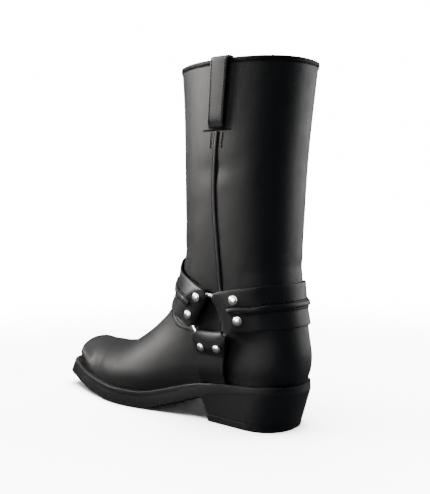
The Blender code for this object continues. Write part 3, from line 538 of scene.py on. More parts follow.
# %% Wear and dust groups
wear, get, put = new_group("edge_wear", [("Vector", "NodeSocketVector"), ("Edge", "NodeSocketFloat")],
                           [("Mask", "NodeSocketFloat")])
rub = node(wear, "ShaderNodeTexNoise", {"Scale": 160.0, "Detail": 3.0, "Roughness": 0.7})
wear.links.new(get.outputs["Vector"], rub.inputs["Vector"])
patchy = remap(wear, rub.outputs["Fac"], 0.35, 0.7, 0.25, 1.0)
wear.links.new(maths(wear, "MULTIPLY", patchy, get.outputs["Edge"]), put.inputs["Mask"])

dust, get, put = new_group("floor_dust", [("Vector", "NodeSocketVector"), ("Top", "NodeSocketFloat")],
                           [("Mask", "NodeSocketFloat")])
parted = node(dust, "ShaderNodeSeparateXYZ")
specks = node(dust, "ShaderNodeTexNoise", {"Scale": 240.0, "Detail": 4.0, "Roughness": 0.75})
dust.links.new(get.outputs["Vector"], parted.inputs[0])
dust.links.new(get.outputs["Vector"], specks.inputs["Vector"])
low_down = node(dust, "ShaderNodeMapRange", {1: 0.0, 3: 1.0, 4: 0.0})
dust.links.new(parted.outputs["Z"], low_down.inputs[0])
dust.links.new(get.outputs["Top"], low_down.inputs[2])
spotty = remap(dust, specks.outputs["Fac"], 0.45, 0.8, 0.0, 1.0)
dust.links.new(maths(dust, "MULTIPLY", low_down.outputs[0], spotty), put.inputs["Mask"])
print("wear and dust groups:", len(wear.nodes), len(dust.nodes), "nodes")

# %% [markdown]
# ## Leather, rubber, metal and thread
# The upper is oiled hide: nearly black, with a soft broad sheen and a fine pebble that only shows
# close up. The straps are smoother and a touch glossier, with dyed cut edges. The sole is dull
# rubber, the rivets and rings are nickel. One function makes every leather and rubber finish, and
# only its numbers differ. Two of them hold painted light: the corded bead's lighter grey is a painted
# highlight, and a matte near-black is painted shade on thin strips at the side seam and the pull slit.

# %% Finishes
DUST = (0.16, 0.15, 0.14)


def grey(shade):
    """A single number as a grey colour."""
    return (shade,) * 3 if isinstance(shade, float) else shade


def new_finish(name):
    """A node material: returns it, its tree, its main shader and its Object coordinates."""
    made = bpy.data.materials.new(name)
    made.use_nodes = True
    tree = made.node_tree
    return made, tree, tree.nodes["Principled BSDF"], node(tree, "ShaderNodeTexCoord").outputs["Object"]


def relief(tree, shader, height, strength, distance):
    """Bump on a shader by a height."""
    made = node(tree, "ShaderNodeBump", {"Strength": strength, "Distance": distance})
    tree.links.new(height, made.inputs["Height"])
    tree.links.new(made.outputs["Normal"], shader.inputs["Normal"])


def hide(name, dark, light, rough, fineness, bump, worn=None, dusty=0.0, specular=0.5):
    """A grained finish: colour and roughness by the grain's tone, bump by its height, edge wear."""
    made, tree, shader, place = new_finish(name)
    skin = use_group(tree, grain, {"Fineness": fineness})
    tree.links.new(place, skin.inputs["Vector"])
    colour = mix(tree, skin.outputs["Tone"], grey(dark), grey(light))
    if worn is not None:
        rubbed = use_group(tree, wear)
        cut = node(tree, "ShaderNodeAttribute", attribute_name="edge")
        tree.links.new(place, rubbed.inputs["Vector"])
        tree.links.new(cut.outputs["Fac"], rubbed.inputs["Edge"])
        colour = mix(tree, rubbed.outputs["Mask"], colour, grey(worn))
    if dusty:
        film = use_group(tree, dust, {"Top": 0.05})
        tree.links.new(place, film.inputs["Vector"])
        colour = mix(tree, maths(tree, "MULTIPLY", film.outputs["Mask"], dusty), colour, DUST)
    tree.links.new(colour, shader.inputs["Base Color"])
    tree.links.new(remap(tree, skin.outputs["Tone"], 0.0, 1.0, *rough), shader.inputs["Roughness"])
    relief(tree, shader, skin.outputs["Height"], bump, 0.0003)
    shader.inputs["Specular IOR Level"].default_value = specular
    return made


def metal(name, colour, dull, rough):
    """A plated finish: colour and roughness vary by a soft cloud, with fine scratches as bump."""
    made, tree, shader, place = new_finish(name)
    cloudy = node(tree, "ShaderNodeTexNoise", {"Scale": 420.0, "Detail": 3.0})
    lines = node(tree, "ShaderNodeTexNoise", {"Scale": 2600.0, "Detail": 1.0})
    for texture in (cloudy, lines):
        tree.links.new(place, texture.inputs["Vector"])
    share = remap(tree, cloudy.outputs["Fac"], 0.35, 0.7, 0.0, 1.0)
    tree.links.new(mix(tree, share, colour, dull), shader.inputs["Base Color"])
    tree.links.new(remap(tree, cloudy.outputs["Fac"], 0.3, 0.7, *rough), shader.inputs["Roughness"])
    relief(tree, shader, lines.outputs["Fac"], 0.08, 0.0001)
    shader.inputs["Metallic"].default_value = 1.0
    return made


upper_leather = hide("oiled_leather", 0.006, 0.010, (0.50, 0.58), 1.0, 0.22)
strap_leather = hide("harness_leather", 0.006, 0.010, (0.46, 0.54), 1.2, 0.18, worn=0.012)
# The corded bead is a lighter grey than the upper leather: a painted highlight along its crest.
cord_leather_painted_highlight = hide("corded_leather", (0.045, 0.045, 0.044), (0.055, 0.055, 0.054), (0.36, 0.42), 1.6,
                    0.04)
binding_leather = hide("binding_leather", 0.004, 0.007, (0.60, 0.68), 1.2, 0.2, specular=0.25)
# Matte near-black: painted shade, laid on the thin strips that stand for the seam's grooves and the pull
# slit.
edge_dye = hide("edge_dye", 0.0015, 0.003, (0.75, 0.85), 1.5, 0.2, specular=0.15)
lining_leather = hide("lining_leather", (0.12, 0.075, 0.045), (0.17, 0.11, 0.07), (0.70, 0.80), 1.4,
                      0.25)
insole_board = hide("insole_board", (0.16, 0.105, 0.065), (0.24, 0.165, 0.11), (0.66, 0.80), 1.5, 0.2)
welt_edge = hide("welt_edge", 0.009, 0.013, (0.42, 0.50), 0.7, 0.18, worn=(0.030, 0.030, 0.029), dusty=0.10)
sole_rubber = hide("sole_rubber", (0.009, 0.009, 0.0095), (0.012, 0.012, 0.0125), (0.44, 0.52), 0.6, 0.10,
                   worn=0.022, dusty=0.10)
thread = hide("waxed_thread", 0.004, 0.008, (0.60, 0.72), 3.0, 0.4, specular=0.3)
nickel = metal("nickel_plate", (0.90, 0.88, 0.83), (0.80, 0.77, 0.71), (0.24, 0.34))
print(len(bpy.data.materials), "materials")

# %% [markdown]
# ## The upper
# A boot upper is lasted: wet leather is pulled over a wooden foot and dries in that shape, so it
# has no flat panel anywhere. The grid follows the vamp's edge, so the step where the vamp is laid
# on the leg runs between two rows and stays crisp. Soft folds are placed as troughs along
# short lines, because real wear sits at known places: behind the toe box and at the ankle. The
# wall then turns over the rim and comes down inside as lining.

# %% Soft folds
Fold = namedtuple("Fold", "name side x0 z0 x1 z1 width depth")
FOLDS = [
    Fold("toe box edge", 0, 197, 34, 193, 56, 6.0, -0.4),
    Fold("vamp break", 0, 166, 40, 160, 62, 7.0, -0.2),
    Fold("shaft dent", 1, -6, 243, 34, 240, 7.0, -0.9),
    Fold("shaft ridge", 1, -20, 233, 10, 231, 6.0, 0.5),
    Fold("back ankle", 0, -40, 152, -12, 147, 5.5, -0.7),
    Fold("back ankle 2", 1, -40, 164, -18, 162, 5.0, -0.45),
    Fold("front ankle", 0, 62, 168, 90, 160, 6.0, -0.8),
    Fold("shaft side", 1, 40, 205, 70, 192, 8.0, -0.5),
    Fold("shaft inner", -1, 0, 215, 40, 208, 9.0, -0.7),
    Fold("counter top", 0, -48, 98, 0, 92, 8.0, 0.35),
]


def folds(points):
    """Depth of the folds: for each, its depth times a bell over the distance to its line."""
    x, y, z = points[..., 0], points[..., 1], points[..., 2]
    total = np.zeros(x.shape)
    for fold in FOLDS:
        line_x, line_z = np.array([fold.x0, fold.x1], float), np.array([fold.z0, fold.z1], float)
        away = to_piece_of_line(x, z, line_x, line_z, np.zeros(x.shape, int))
        on_side = 1.0 if fold.side == 0 else smoothstep(-4, 8, y * fold.side)
        total += fold.depth * np.exp(-(away / fold.width) ** 2) * on_side
    return total


print(len(FOLDS), "folds")

# %% The upper's grid
COLUMNS, ROWS_BELOW, ROWS_ABOVE = 288, 104, 64


def grid_normals(points):
    """Outward normals of a grid that closes round: the cross product of its two steps."""
    wrapped = np.concatenate([points[:, -1:], points, points[:, :1]], axis=1)
    return unit(np.cross(np.gradient(points, axis=0), wrapped[:, 2:] - wrapped[:, :-2]))


def outer_face():
    """The outer face and its normals, with rows drawn to the vamp's edge."""
    turns = np.arange(COLUMNS) / COLUMNS
    edge = vamp_edge(turns)
    below = np.linspace(0, 1, ROWS_BELOW)[:, None] ** 0.92 * (edge - 0.0022)
    rim = np.array([0.0007, 0.0016, 0.0024, 0.003])[:, None] + edge - 0.0022
    above = (edge + 0.0022) + np.linspace(0, 1, ROWS_ABOVE)[:, None] * (1 - edge - 0.0022)
    heights = np.concatenate([below, rim, above])
    laid_on = np.concatenate([np.ones(ROWS_BELOW), [0.97, 0.8, 0.45, 0.08], np.zeros(ROWS_ABOVE)])
    points = surface(heights, turns)
    out = grid_normals(points)
    lift = laid_on[:, None] * vamp_cover(points) * VAMP_STEP + folds(points)
    points = points + out * lift[..., None]
    points[0, :, 2] = seat(points[0, :, 0]) + GAP
    return points, out


outer, outward = outer_face()
every = np.unique(np.concatenate([np.arange(0, len(outer), 3), [len(outer) - 1]]))[::-1]
inner = outer[every] - outward[every] * WALL
inner[-1, :, 2] = outer[0, :, 2]
rim_turn = np.linspace(0, np.pi, 7)[1:-1, None, None]
top, top_in = outer[-1], inner[0]
rim = (top + top_in) / 2 + (top - top_in) / 2 * np.cos(rim_turn)
rim = rim + np.array([0, 0, 1.1]) * np.sin(rim_turn)
shell = np.concatenate([outer, rim, inner])
shell_faces = grid_faces(len(shell), COLUMNS, True, True)
inside = np.repeat(np.arange(len(shell)) >= len(outer) + 3, COLUMNS)
piece("boot_upper", shell, shell_faces, [upper_leather, lining_leather], ["upper"],
      finish_of=inside)

# %% [markdown]
# ## Outsole and midsole
# A welted sole is a stack: the midsole with its stitched margin on top, and a rubber outsole under
# it whose waist has cross ribs that show as teeth along the edge. Both are profiles carried along
# the foot: a closed section, square to the underside, with softly broken corners. The ribs are a
# trapezoid wave in the underside's height, with stations at each of its corners.

# %% Sole layers
CORNER = [(0.85, 0.0), (0.35, 0.18), (0.1, 0.5), (0.0, 1.1)]
INSIDE = (0.85, 0.5, 0.2, -0.2, -0.5, -0.85)
RIB_SLOPE, RIB_WIDTH = 0.3, 1.6


def crowded(start, end, count):
    """Places from start to end, closest at both ends: by (1 - cos) of even shares."""
    return start + (end - start) * (1 - np.cos(np.linspace(0, np.pi, count))) / 2


def rib_depth(x):
    """Depth of the rib grooves: within each pitch up over a short slope, flat, and down again."""
    phase = (x - RIB_FIRST) % RIB_PITCH
    wave = np.clip(np.minimum(phase / RIB_SLOPE, (RIB_WIDTH - phase) / RIB_SLOPE), 0, 1)
    return RIB_DEPTH * wave * ((x >= RIB_FIRST) & (x <= RIB_LAST))


def midsole_thickness(x):
    """Thickness of the welt and midsole, skived toward the heel."""
    return 2.6 + 2.9 * smoothstep(MIDSOLE_BACK, 85, x)


def sole_sections(x, bottom, top, inset, soft_top, soft_bottom):
    """Closed sections of a layer and their edge mask: down one side, across, up, and back across.

    Each corner is trimmed in and dropped by the CORNER pairs, times how soft it is; y is the half
    breadth times a share.
    """
    centre = table(SOLE, "x", "centre", x)
    halves = {1: sole_breadth(x, 1, inset), -1: sole_breadth(x, -1, inset)}
    down = [(1.0, soft_top * trim, top - soft_top * drop, 1.0 - drop) for trim, drop in CORNER]
    down += [(1.0, soft_bottom * trim, bottom + soft_bottom * drop, 1.0 - drop)
             for trim, drop in CORNER[::-1]]
    under = [(share, 1.0, bottom, 0.0) for share in INSIDE]
    up = [(-share, trim, lift, edge) for share, trim, lift, edge in down[::-1]]
    over = [(-share, 1.0, top, 0.0) for share in INSIDE]
    rows, mask = [], []
    for share, trim, lift, edge in down + under + up + over:
        half = halves[1 if share > 0 else -1]
        line_x, line_z = sole_line(x, lift)
        rows.append(np.stack([line_x, centre + share * np.maximum(half - trim, 0.02), line_z], axis=-1))
        mask.append(np.full(x.shape, max(edge, 0.0)))
    return np.stack(rows, axis=1), np.stack(mask, axis=1)


def sole_layer(name, x, bottom, top, inset, soft_top, soft_bottom, finish, node_name):
    """A layer of the sole as a capped solid through its sections."""
    sections, mask = sole_sections(x, bottom, top, inset, soft_top, soft_bottom)
    sections, mask = capped(sections), np.concatenate([mask[:1], mask, mask[-1:]])
    faces = grid_faces(*sections.shape[:2], False, True)
    piece(name, sections, faces, finish, [node_name], edge=mask, sharp=CREASE)


rib_corners = np.array([0, RIB_SLOPE, RIB_WIDTH - RIB_SLOPE, RIB_WIDTH])
rib_corners = (np.arange(RIB_FIRST, RIB_LAST, RIB_PITCH)[:, None] + rib_corners).ravel()
step_at = MIDSOLE_BACK - 0.8
x = np.unique(np.concatenate([crowded(HEEL_TIP + 0.01, TOE_TIP - 0.01, 190), rib_corners,
                              [step_at - 0.2, step_at + 0.2]]))
full = table(SOLE, "x", "thickness", x)
top = full - np.where(x > step_at, midsole_thickness(x), 0)
sole_layer("boot_outsole", x, rib_depth(x), top, 0.0, 0.12, 0.9, sole_rubber, "outsole")

x = crowded(step_at, TOE_TIP - 0.3, 170)
full = table(SOLE, "x", "thickness", x)
sole_layer("boot_midsole", x, full - midsole_thickness(x), full, 0.1, 0.7, 0.1, welt_edge,
           "midsole")

# %% [markdown]
# ## Stitches
# The welt is sewn to the sole all round its margin, and every strap and seam shows a row of thread.
# A curve with thousands of points would be heavy. Instead one stitch is a short capsule of a few
# dozen faces, and an array of centres and directions along a path places all of them in one mesh.

# %% Stitch rows
STITCH_LONG, STITCH_ROUND = 7, 6


def along_path(path, distance):
    """Points of a path at distances along it, by straight pieces."""
    length = np.concatenate([[0], np.cumsum(np.linalg.norm(np.diff(path, axis=0), axis=1))])
    return np.stack([np.interp(distance, length, path[:, k]) for k in range(3)], axis=-1), length[-1]


def stitch_row(path, up, pitch, length, radius):
    """Capsules along a path: the ends dip into the leather, the middle stands proud by the radius."""
    whole = along_path(path, 0.0)[1]
    count = max(int(whole / pitch), 1)
    at = (np.arange(count) + 0.5) * whole / count
    centre = along_path(path, at)[0]
    ahead = unit(along_path(path, at + 0.3)[0] - along_path(path, at - 0.3)[0])
    share = at / whole * (len(path) - 1)
    rise = unit(np.stack([np.interp(share, np.arange(len(path)), up[:, k]) for k in range(3)], axis=-1))
    aside = unit(np.cross(rise, ahead))
    u, v = np.linspace(0, np.pi, STITCH_LONG), np.linspace(0, 2 * np.pi, STITCH_ROUND, endpoint=False)
    forth = (-np.cos(u) * length / 2)[:, None] + 0 * v
    thick = radius * np.sqrt(np.sin(u).clip(0))[:, None]
    side, lift = thick * np.cos(v), thick * np.sin(v) + radius * (0.9 * np.sin(u)[:, None] - 0.35)
    points = (centre[:, None, None] + forth[..., None] * ahead[:, None, None]
              + side[..., None] * aside[:, None, None] + lift[..., None] * rise[:, None, None])
    faces = grid_faces(STITCH_LONG, STITCH_ROUND, False, True)
    faces = (faces[None] + STITCH_LONG * STITCH_ROUND * np.arange(count)[:, None, None]).reshape(-1, 4)
    return points.reshape(-1, 3), faces


def stitches(name, rows):
    """Several stitch rows joined into one mesh of thread."""
    starts = np.cumsum([0] + [len(points) for points, _ in rows[:-1]])
    points = np.concatenate([points for points, _ in rows])
    faces = np.concatenate([faces + start for (_, faces), start in zip(rows, starts)])
    piece(name, points, faces, thread)


def skin_row(height, turn, lift, pitch, length, radius):
    """A stitch row along a line on the upper's surface, lifted off it."""
    up = normals(height, turn)
    return stitch_row(surface(height, turn) + up * lift, up, pitch, length, radius)


def welt_path(inset):
    """The welt's margin: along the outer side to the toe and back along the inner side."""
    x = crowded(-2 * (TOE_TIP - 40) + TOE_TIP - 0.6 - inset, TOE_TIP - 0.6 - inset, 800)
    x = x[x > 36.0]
    sides = []
    for side in (1, -1):
        lift = table(SOLE, "x", "thickness", x)
        line_x, line_z = sole_line(x, lift)
        y = table(SOLE, "x", "centre", x) + side * sole_breadth(x, side, 0.6 + inset)
        sides.append(np.stack([line_x, y, line_z], axis=-1))
    low_x, low_z = sole_line(x, lift - 1.0)
    rise = unit(np.stack([line_x - low_x, 0 * x, line_z - low_z], axis=-1))
    return np.concatenate([sides[0], sides[1][::-1]]), np.concatenate([rise, rise[::-1]])


path, up = welt_path(3.0)
stitches("welt_stitching", [stitch_row(path, up, 4.2, 3.4, 0.55)])

# %% [markdown]
# ## Heel and insole
# The heel is a block with a slanted back and a thin wearing piece under it. Its outline is a
# superellipse behind and straight at the breast, a little smaller at the floor, so rings of that
# outline are stacked and the first and last are drawn to the middle line to close it. The insole
# lies inside the upper along the same edge that the upper stands on.

# %% Heel layers


def heel_outline(along, level, inset):
    """Heel edge (x, half breadth) at shares along its length, level 0 at the floor and 1 at the seat."""
    back = -HEEL_LENGTH / 2 + (HEEL_TIP + HEEL_LENGTH / 2) * level + inset
    front = HEEL_LENGTH / 2 + 7.0 * level - inset
    x = back + (front - back) * along
    half = (33.6 + 2.4 * level - inset) * rounding(x - back, 33.5, 2.2)
    return x, half * (1 - 0.04 * np.clip((along - 0.97) / 0.03, 0, 1) ** 2)


def heel_layer(name, bottom, top, finish, inset):
    """Rings of the outline from bottom to top; a top of None follows the sole's underside."""
    along = crowded(0.0, 1.0, 46)
    shares = np.concatenate([[0, 0.012, 0.04], np.linspace(0.09, 0.93, 9), [0.975, 0.994, 1.0]])
    trims = np.array([0.3, 0.12, 0.03] + [0.0] * 9 + [0.01, 0.04, 0.1])
    ceiling = HEEL_SEAT if top is None else top
    level = (bottom + (ceiling - bottom) * shares) / HEEL_SEAT
    x, half = heel_outline(along[None, :], level[:, None], inset + trims[:, None])
    roof = sole_floor(x) if top is None else np.full_like(x, top)
    z = bottom + (roof - bottom) * shares[:, None]
    breast = np.linspace(1, -1, 9)[1:-1]
    front_x, front_z = np.repeat(x[:, -1:], 7, axis=1), np.repeat(z[:, -1:], 7, axis=1)
    loop = np.stack([np.concatenate([x, front_x, x[:, ::-1]], axis=1),
                     np.concatenate([half, half[:, -1:] * breast, -half[:, ::-1]], axis=1),
                     np.concatenate([z, front_z, z[:, ::-1]], axis=1)], axis=-1)
    closed = np.concatenate([loop[:1] * [1, 0, 1], loop, loop[-1:] * [1, 0, 1]])
    rim = np.clip(trims / 0.5, 0, 1)[:, None] + 0 * loop[..., 0]
    mask = np.concatenate([rim[:1] * 0, rim, rim[-1:] * 0])
    faces = grid_faces(*closed.shape[:2], False, True)
    piece("boot_" + name, closed, faces, finish, [name], edge=mask, sharp=CREASE)


heel_layer("heel_lift", 0.0, LIFT_THICKNESS, sole_rubber, 0.0)
heel_layer("heel_block", LIFT_THICKNESS, None, sole_rubber, 0.05)

# %% Insole
turns = np.arange(144) / 144
rim_line = surface(np.zeros(144), turns)
inward = -normals(np.full(144, 0.004), turns) * [1, 1, 0]
outline = rim_line + unit(inward) * (WALL + 1.2)
outer_side, inner_side = outline[1:72], outline[:72:-1]
x = (outer_side[:, 0] + inner_side[:, 0]) / 2
low = seat(x) + 2 * GAP
rows = [(1.0, 0.0), (1.0, 2.2), (0.985, 2.8), (0.95, 3.0)] + [(s, 3.0) for s in (0.6, 0.3, 0.0)]
rows += [(-s, lift) for s, lift in rows[-2::-1]] + [(-0.5, 0.0), (0.5, 0.0)]
middle, half = (outer_side[:, 1] + inner_side[:, 1]) / 2, (outer_side[:, 1] - inner_side[:, 1]) / 2
sections = np.stack([np.stack([x, middle + s * half, low + lift], axis=-1) for s, lift in rows], axis=1)
piece("boot_insole", capped(sections), grid_faces(len(x) + 2, len(rows), False, True), insole_board,
      ["insole"], sharp=CREASE)

# %% [markdown]
# ## The harness
# Each strap is folded round a metal ring, lies back on itself and is held by two domed rivets. Its
# middle face is a grid: distance from the ring along it, and place across it. Close to the ring
# the grid follows the rod, further off it lies on the leg, and a smooth step blends the two. The
# thickness is then a rounded section carried along that face and square to it.

# %% Harness values and the ring's frame
RING_X, RING_Z, RING_RADIUS, ROD_RADIUS = 28.7, 102.9, 22.5, 1.9
STRAP_THICKNESS, STRAP_HALF, LOWER_HALF, LOWER_FOOT = 2.0, 20.0, 18.0, 16.0
RETURN_LENGTH, RETURN_WIDTH, KEEPER_HALF, KEEPER_HEIGHT = 20.0, 0.9, 2.7, 2.2
ONE_LAYER = VAMP_STEP + 2 * GAP + STRAP_THICKNESS / 2
TWO_LAYERS = ONE_LAYER + STRAP_THICKNESS + GAP
BEND = ROD_RADIUS + 0.4 + STRAP_THICKNESS / 2
ROD_LIFT = ONE_LAYER + BEND + 1.0
BEHIND_VAMP = 0.8
Wrap = namedtuple("Wrap", "turn z level")
FRONT_LINE = [Wrap(0.18, 86.0, 0.93), Wrap(0.245, RING_Z, 0.92), Wrap(0.298, 113.5, 0.93),
              Wrap(0.36, 121.5, 0.95), Wrap(0.41, 127.0, 0.95), Wrap(0.46, 133.0, 0.96),
              Wrap(0.5, 136.0, 1.0)]
REAR_LINE = [Wrap(0.0, 117.0, 1.0), Wrap(0.104, 116.0, 0.99), Wrap(0.174, 110.8, 0.96),
             Wrap(0.245, RING_Z, 0.94), Wrap(0.31, 90.0, 0.93)]
Place = namedtuple("Place", "x z")
LOWER_LINE = [Place(31.0, 30), Place(31.0, 60), Place(29.5, 80), Place(RING_X, RING_Z)]
Strap = namedtuple("Strap", "name line angle span half slack rivets spread keeper")
FRONT_STRAP = Strap("strap_front", FRONT_LINE, 33.0, 56.0, STRAP_HALF, 0.8, 0.6, 9.8, 1.2)
REAR_STRAP = Strap("strap_rear", REAR_LINE, 159.0, 50.0, STRAP_HALF, 0.7, 14.2, 9.8, 5.0)
LOWER_STRAP = Strap("strap_lower", LOWER_LINE, -91.5, 52.0, LOWER_HALF, 0.8, 7.1, 7.9, 0.0)
RING_HEIGHT, RING_TURN = (float(share) for share in side_point(RING_X, RING_Z))
Frame = namedtuple("Frame", "centre forward up normal")


def ring_frame(inner):
    """The ring's centre and axes on one side of the boot, standing off the leg."""
    turn = 1 - RING_TURN if inner else RING_TURN
    normal = normals(RING_HEIGHT, turn)
    up = unit(np.array([0.0, 0.0, 1.0]) - normal * normal[2])
    forward = np.cross(up, normal)
    return Frame(surface(RING_HEIGHT, turn) + normal * ROD_LIFT, forward * np.sign(forward[0]), up, normal)


RING_FRAMES = {inner: ring_frame(inner) for inner in (False, True)}
print("outer ring's centre:", RING_FRAMES[False].centre.round(1))

# %% Strap faces


def ring_point(frame, strap, reach, across, lift):
    """A strap's end beside its ring: fanned out square to the rod, slack inside it, then straight."""
    angle = math.radians(strap.angle)
    outward = math.cos(angle) * frame.forward + math.sin(angle) * frame.up
    over = math.cos(angle) * frame.up - math.sin(angle) * frame.forward
    over = over * np.sign(over @ (frame.forward if abs(math.sin(angle)) > 0.7 else frame.up))
    fan = math.radians(strap.span) * across / strap.half
    round_rod = RING_RADIUS + np.minimum(reach, 4.0)
    narrow = smoothstep(4.0, 16.0, reach)
    bow = math.cos(math.radians(strap.span))
    slack = strap.slack * (RING_RADIUS - BEND) * np.maximum(np.cos(fan) - bow, 0)
    along = round_rod * np.cos(fan) + np.maximum(reach - 4.0, 0) - slack * np.clip(-reach / BEND, 0, 1)
    aside = round_rod * np.sin(fan) * (1 - narrow) + across * narrow
    return (frame.centre + along[..., None] * outward + aside[..., None] * over
            + lift[..., None] * frame.normal)


def band_heights(strap, turns, across):
    """Height shares of a strap at turns: where its offset from the middle line equals across."""
    heights = np.linspace(0.30, 0.95, 500)
    z = ring_path(heights[:, None], turns[None, :])[1]
    half = half_turn(turns)
    offset = (z - table(strap.line, "turn", "z", half)) * table(strap.line, "turn", "level", half)
    wide = np.broadcast_to(across, (len(turns), np.shape(across)[-1]))
    return np.stack([np.interp(wide[i], offset[:, i], heights) for i in range(len(turns))])


def strap_middle(strap, backward):
    """Turns along a strap's middle line from ring to ring, and the length up to each."""
    sweep = np.linspace(0, 1, 400)
    turns = RING_TURN * (1 - 2 * sweep) if backward else RING_TURN + sweep * (1 - 2 * RING_TURN)
    line = surface(band_heights(strap, turns, np.array([0.0]))[:, 0], turns)
    return turns, np.concatenate([[0], np.cumsum(np.linalg.norm(np.diff(line, axis=0), axis=1))])


def strap_face(strap, reach, ring_lift, leg_lift, across, length, backward):
    """A strap's face: its two ring ends blended into its run on the leg, by distance from the rods.

    With length None the strap has one ring, the inner one where backward is true, and hangs down.
    Well behind the vamp's back edge it lies closer to the leg. across is one row, or one per reach.
    """
    near, frames = reach, (RING_FRAMES[False], RING_FRAMES[True])
    at_far = np.zeros(len(reach), bool)
    if length is None:
        frames = (RING_FRAMES[backward],) * 2
        z = RING_Z - RING_RADIUS - reach[:, None] + 0 * across
        height, turn = side_place(table(LOWER_LINE, "z", "x", z) + across, z, backward)
        to_leg = smoothstep(4.5, 15.0, near)
    else:
        turns, run = strap_middle(strap, backward)
        at = np.interp(reach + RING_RADIUS, run, turns)
        height, turn = band_heights(strap, at, across), at[:, None] + 0 * across
        far = length - 2 * RING_RADIUS - reach
        at_far, near = far < reach, np.minimum(reach, far)
        to_leg = smoothstep(6.0, 26.0, near)
        leg_lift = leg_lift - BEHIND_VAMP * (1 - smoothstep(0.09, 0.19, half_turn(at)))
    leg = surface(height, turn) + normals(height, turn) * leg_lift[:, None, None]
    wide, close = np.broadcast_arrays(np.atleast_2d(across), near[:, None])
    lift = ring_lift[:, None] + 0 * wide
    beside = np.where(at_far[:, None, None], ring_point(frames[1], strap, close, wide, lift),
                      ring_point(frames[0], strap, close, wide, lift))
    return beside + (leg - beside) * to_leg[:, None, None]


def folded_end():
    """A folded end as rows of reach, ring lift, leg lift and width: under itself, then round the rod."""
    back, degrees = np.linspace(RETURN_LENGTH, 1.0, 14), np.linspace(-90, -270, 25)
    under = [back, 0 * back - BEND, 0 * back + ONE_LAYER, 0 * back + RETURN_WIDTH]
    turn = np.radians(degrees)
    width = RETURN_WIDTH + (1 - RETURN_WIDTH) * smoothstep(-90, -200, degrees)
    bend = [BEND * np.cos(turn), BEND * np.sin(turn), 0 * turn + ONE_LAYER, width]
    return np.concatenate([under, bend], axis=1).T


def top_lift(near):
    """Lift of a strap's outer layer over the leg, which steps down past its folded end."""
    return TWO_LAYERS + (ONE_LAYER - TWO_LAYERS) * smoothstep(24.0, 45.0, near)


print("fold rows:", len(folded_end()))

# %% Rounded strap sections


def strap_section(half, thickness):
    """A rounded section: places across, as shares of the half width, lifts and the edge mask."""
    flat = np.linspace(-1, 1, 15)
    round_off = np.linspace(0, np.pi, 9)[1:-1]
    radius = thickness / 2 * 0.95
    share = np.concatenate([flat * (1 - radius / half), 1 - radius / half * (1 - np.sin(round_off))])
    lift = np.concatenate([0 * flat + thickness / 2, thickness / 2 * np.cos(round_off)])
    edge = np.concatenate([np.abs(flat) ** 14, 0 * round_off + 1])
    return np.concatenate([share, -share]), np.concatenate([lift, -lift]), np.tile(edge, 2)


def face_normals(face):
    """Normals of an open grid: the cross product of its steps along and across."""
    return unit(np.cross(np.gradient(face, axis=0), np.gradient(face, axis=1)))


def on_face(face, square, share, lift):
    """Points at shares -1..1 across a face's rows, lifted along its normals.

    Share and lift are single numbers, one row for all, or one row for each row of the face.
    """
    column_at = (np.clip(np.atleast_1d(share), -1, 1) + 1) / 2 * (face.shape[1] - 1)
    left = np.clip(column_at.astype(int), 0, face.shape[1] - 2)
    rest = (column_at - left)[..., None]
    row = np.arange(len(face))[:, None]
    place = face[row, left] * (1 - rest) + face[row, left + 1] * rest
    normal = unit(square[row, left] * (1 - rest) + square[row, left + 1] * rest)
    return place + normal * np.asarray(lift)[..., None]


def thick_strap(name, face, half, thickness, node_name):
    """A strap from its middle face: the rounded section set square to the face at every row."""
    share, lift, edge = strap_section(half, thickness)
    square = face_normals(face)
    sections, ends = on_face(face, square, share, lift), on_face(face, square, share * 0.97, 0.0)
    closed = np.concatenate([ends[:1], sections, ends[-1:]])
    mask = np.tile(edge, (len(closed), 1))
    mask[:2], mask[-2:] = 1.0, 1.0
    piece(name, closed, grid_faces(*closed.shape[:2], False, True), strap_leather,
          [node_name], edge=mask)


def top_reaches(last):
    """Reaches along a strap's outer layer from rod to rod, closer at the folded ends."""
    near = np.linspace(1.0, 46.0, 46)
    return np.concatenate([near, np.linspace(47.5, last - 47.5, 44), last - near[::-1]])


ACROSS = np.linspace(-1, 1, 25)
MID = len(ACROSS) // 2
print("section points:", len(strap_section(20.0, 2.4)[0]))

# %% Front and rear straps
Leg_strap = namedtuple("Leg_strap", "strap backward length last")
leg_straps = []
for strap, backward in ((FRONT_STRAP, False), (REAR_STRAP, True)):
    length = float(strap_middle(strap, backward)[1][-1])
    last = length - 2 * RING_RADIUS
    fold, top = folded_end(), top_reaches(last)
    near = np.minimum(top, last - top)
    reach = np.concatenate([fold[:, 0], top, last - fold[::-1, 0]])
    ring_lift = np.concatenate([fold[:, 1], np.full(len(top), BEND), fold[::-1, 1]])
    leg_lift = np.concatenate([fold[:, 2], top_lift(near), fold[::-1, 2]])
    width = np.concatenate([fold[:, 3], np.ones(len(top)), fold[::-1, 3]])[:, None]
    face = strap_face(strap, reach, ring_lift, leg_lift, ACROSS * strap.half * width, length, backward)
    thick_strap("harness_" + strap.name, face, strap.half, STRAP_THICKNESS, strap.name)
    leg_straps.append(Leg_strap(strap, backward, length, last))

# %% Lower straps
for side, inner in SIDES:
    foot = RING_Z - RING_RADIUS - float(seat(LOWER_LINE[0].x)) - 1.6
    fold, top = folded_end(), np.linspace(1.0, foot, 46)
    reach = np.concatenate([fold[:, 0], top])
    ring_lift = np.concatenate([fold[:, 1], np.full(len(top), BEND)])
    leg_lift = np.concatenate([fold[:, 2], top_lift(top) - BEHIND_VAMP * smoothstep(30.0, foot, top)])
    taper = 1 + (LOWER_FOOT / LOWER_HALF - 1) * smoothstep(4.0, foot, top)
    width = np.concatenate([fold[:, 3], taper])[:, None]
    face = strap_face(LOWER_STRAP, reach, ring_lift, leg_lift, ACROSS * LOWER_HALF * width, None, inner)
    face[-1, :, 2] = seat(face[-1, :, 0]) + 1.6
    thick_strap("harness_strap_lower_" + side, face, LOWER_HALF, STRAP_THICKNESS, "strap_lower_" + side)

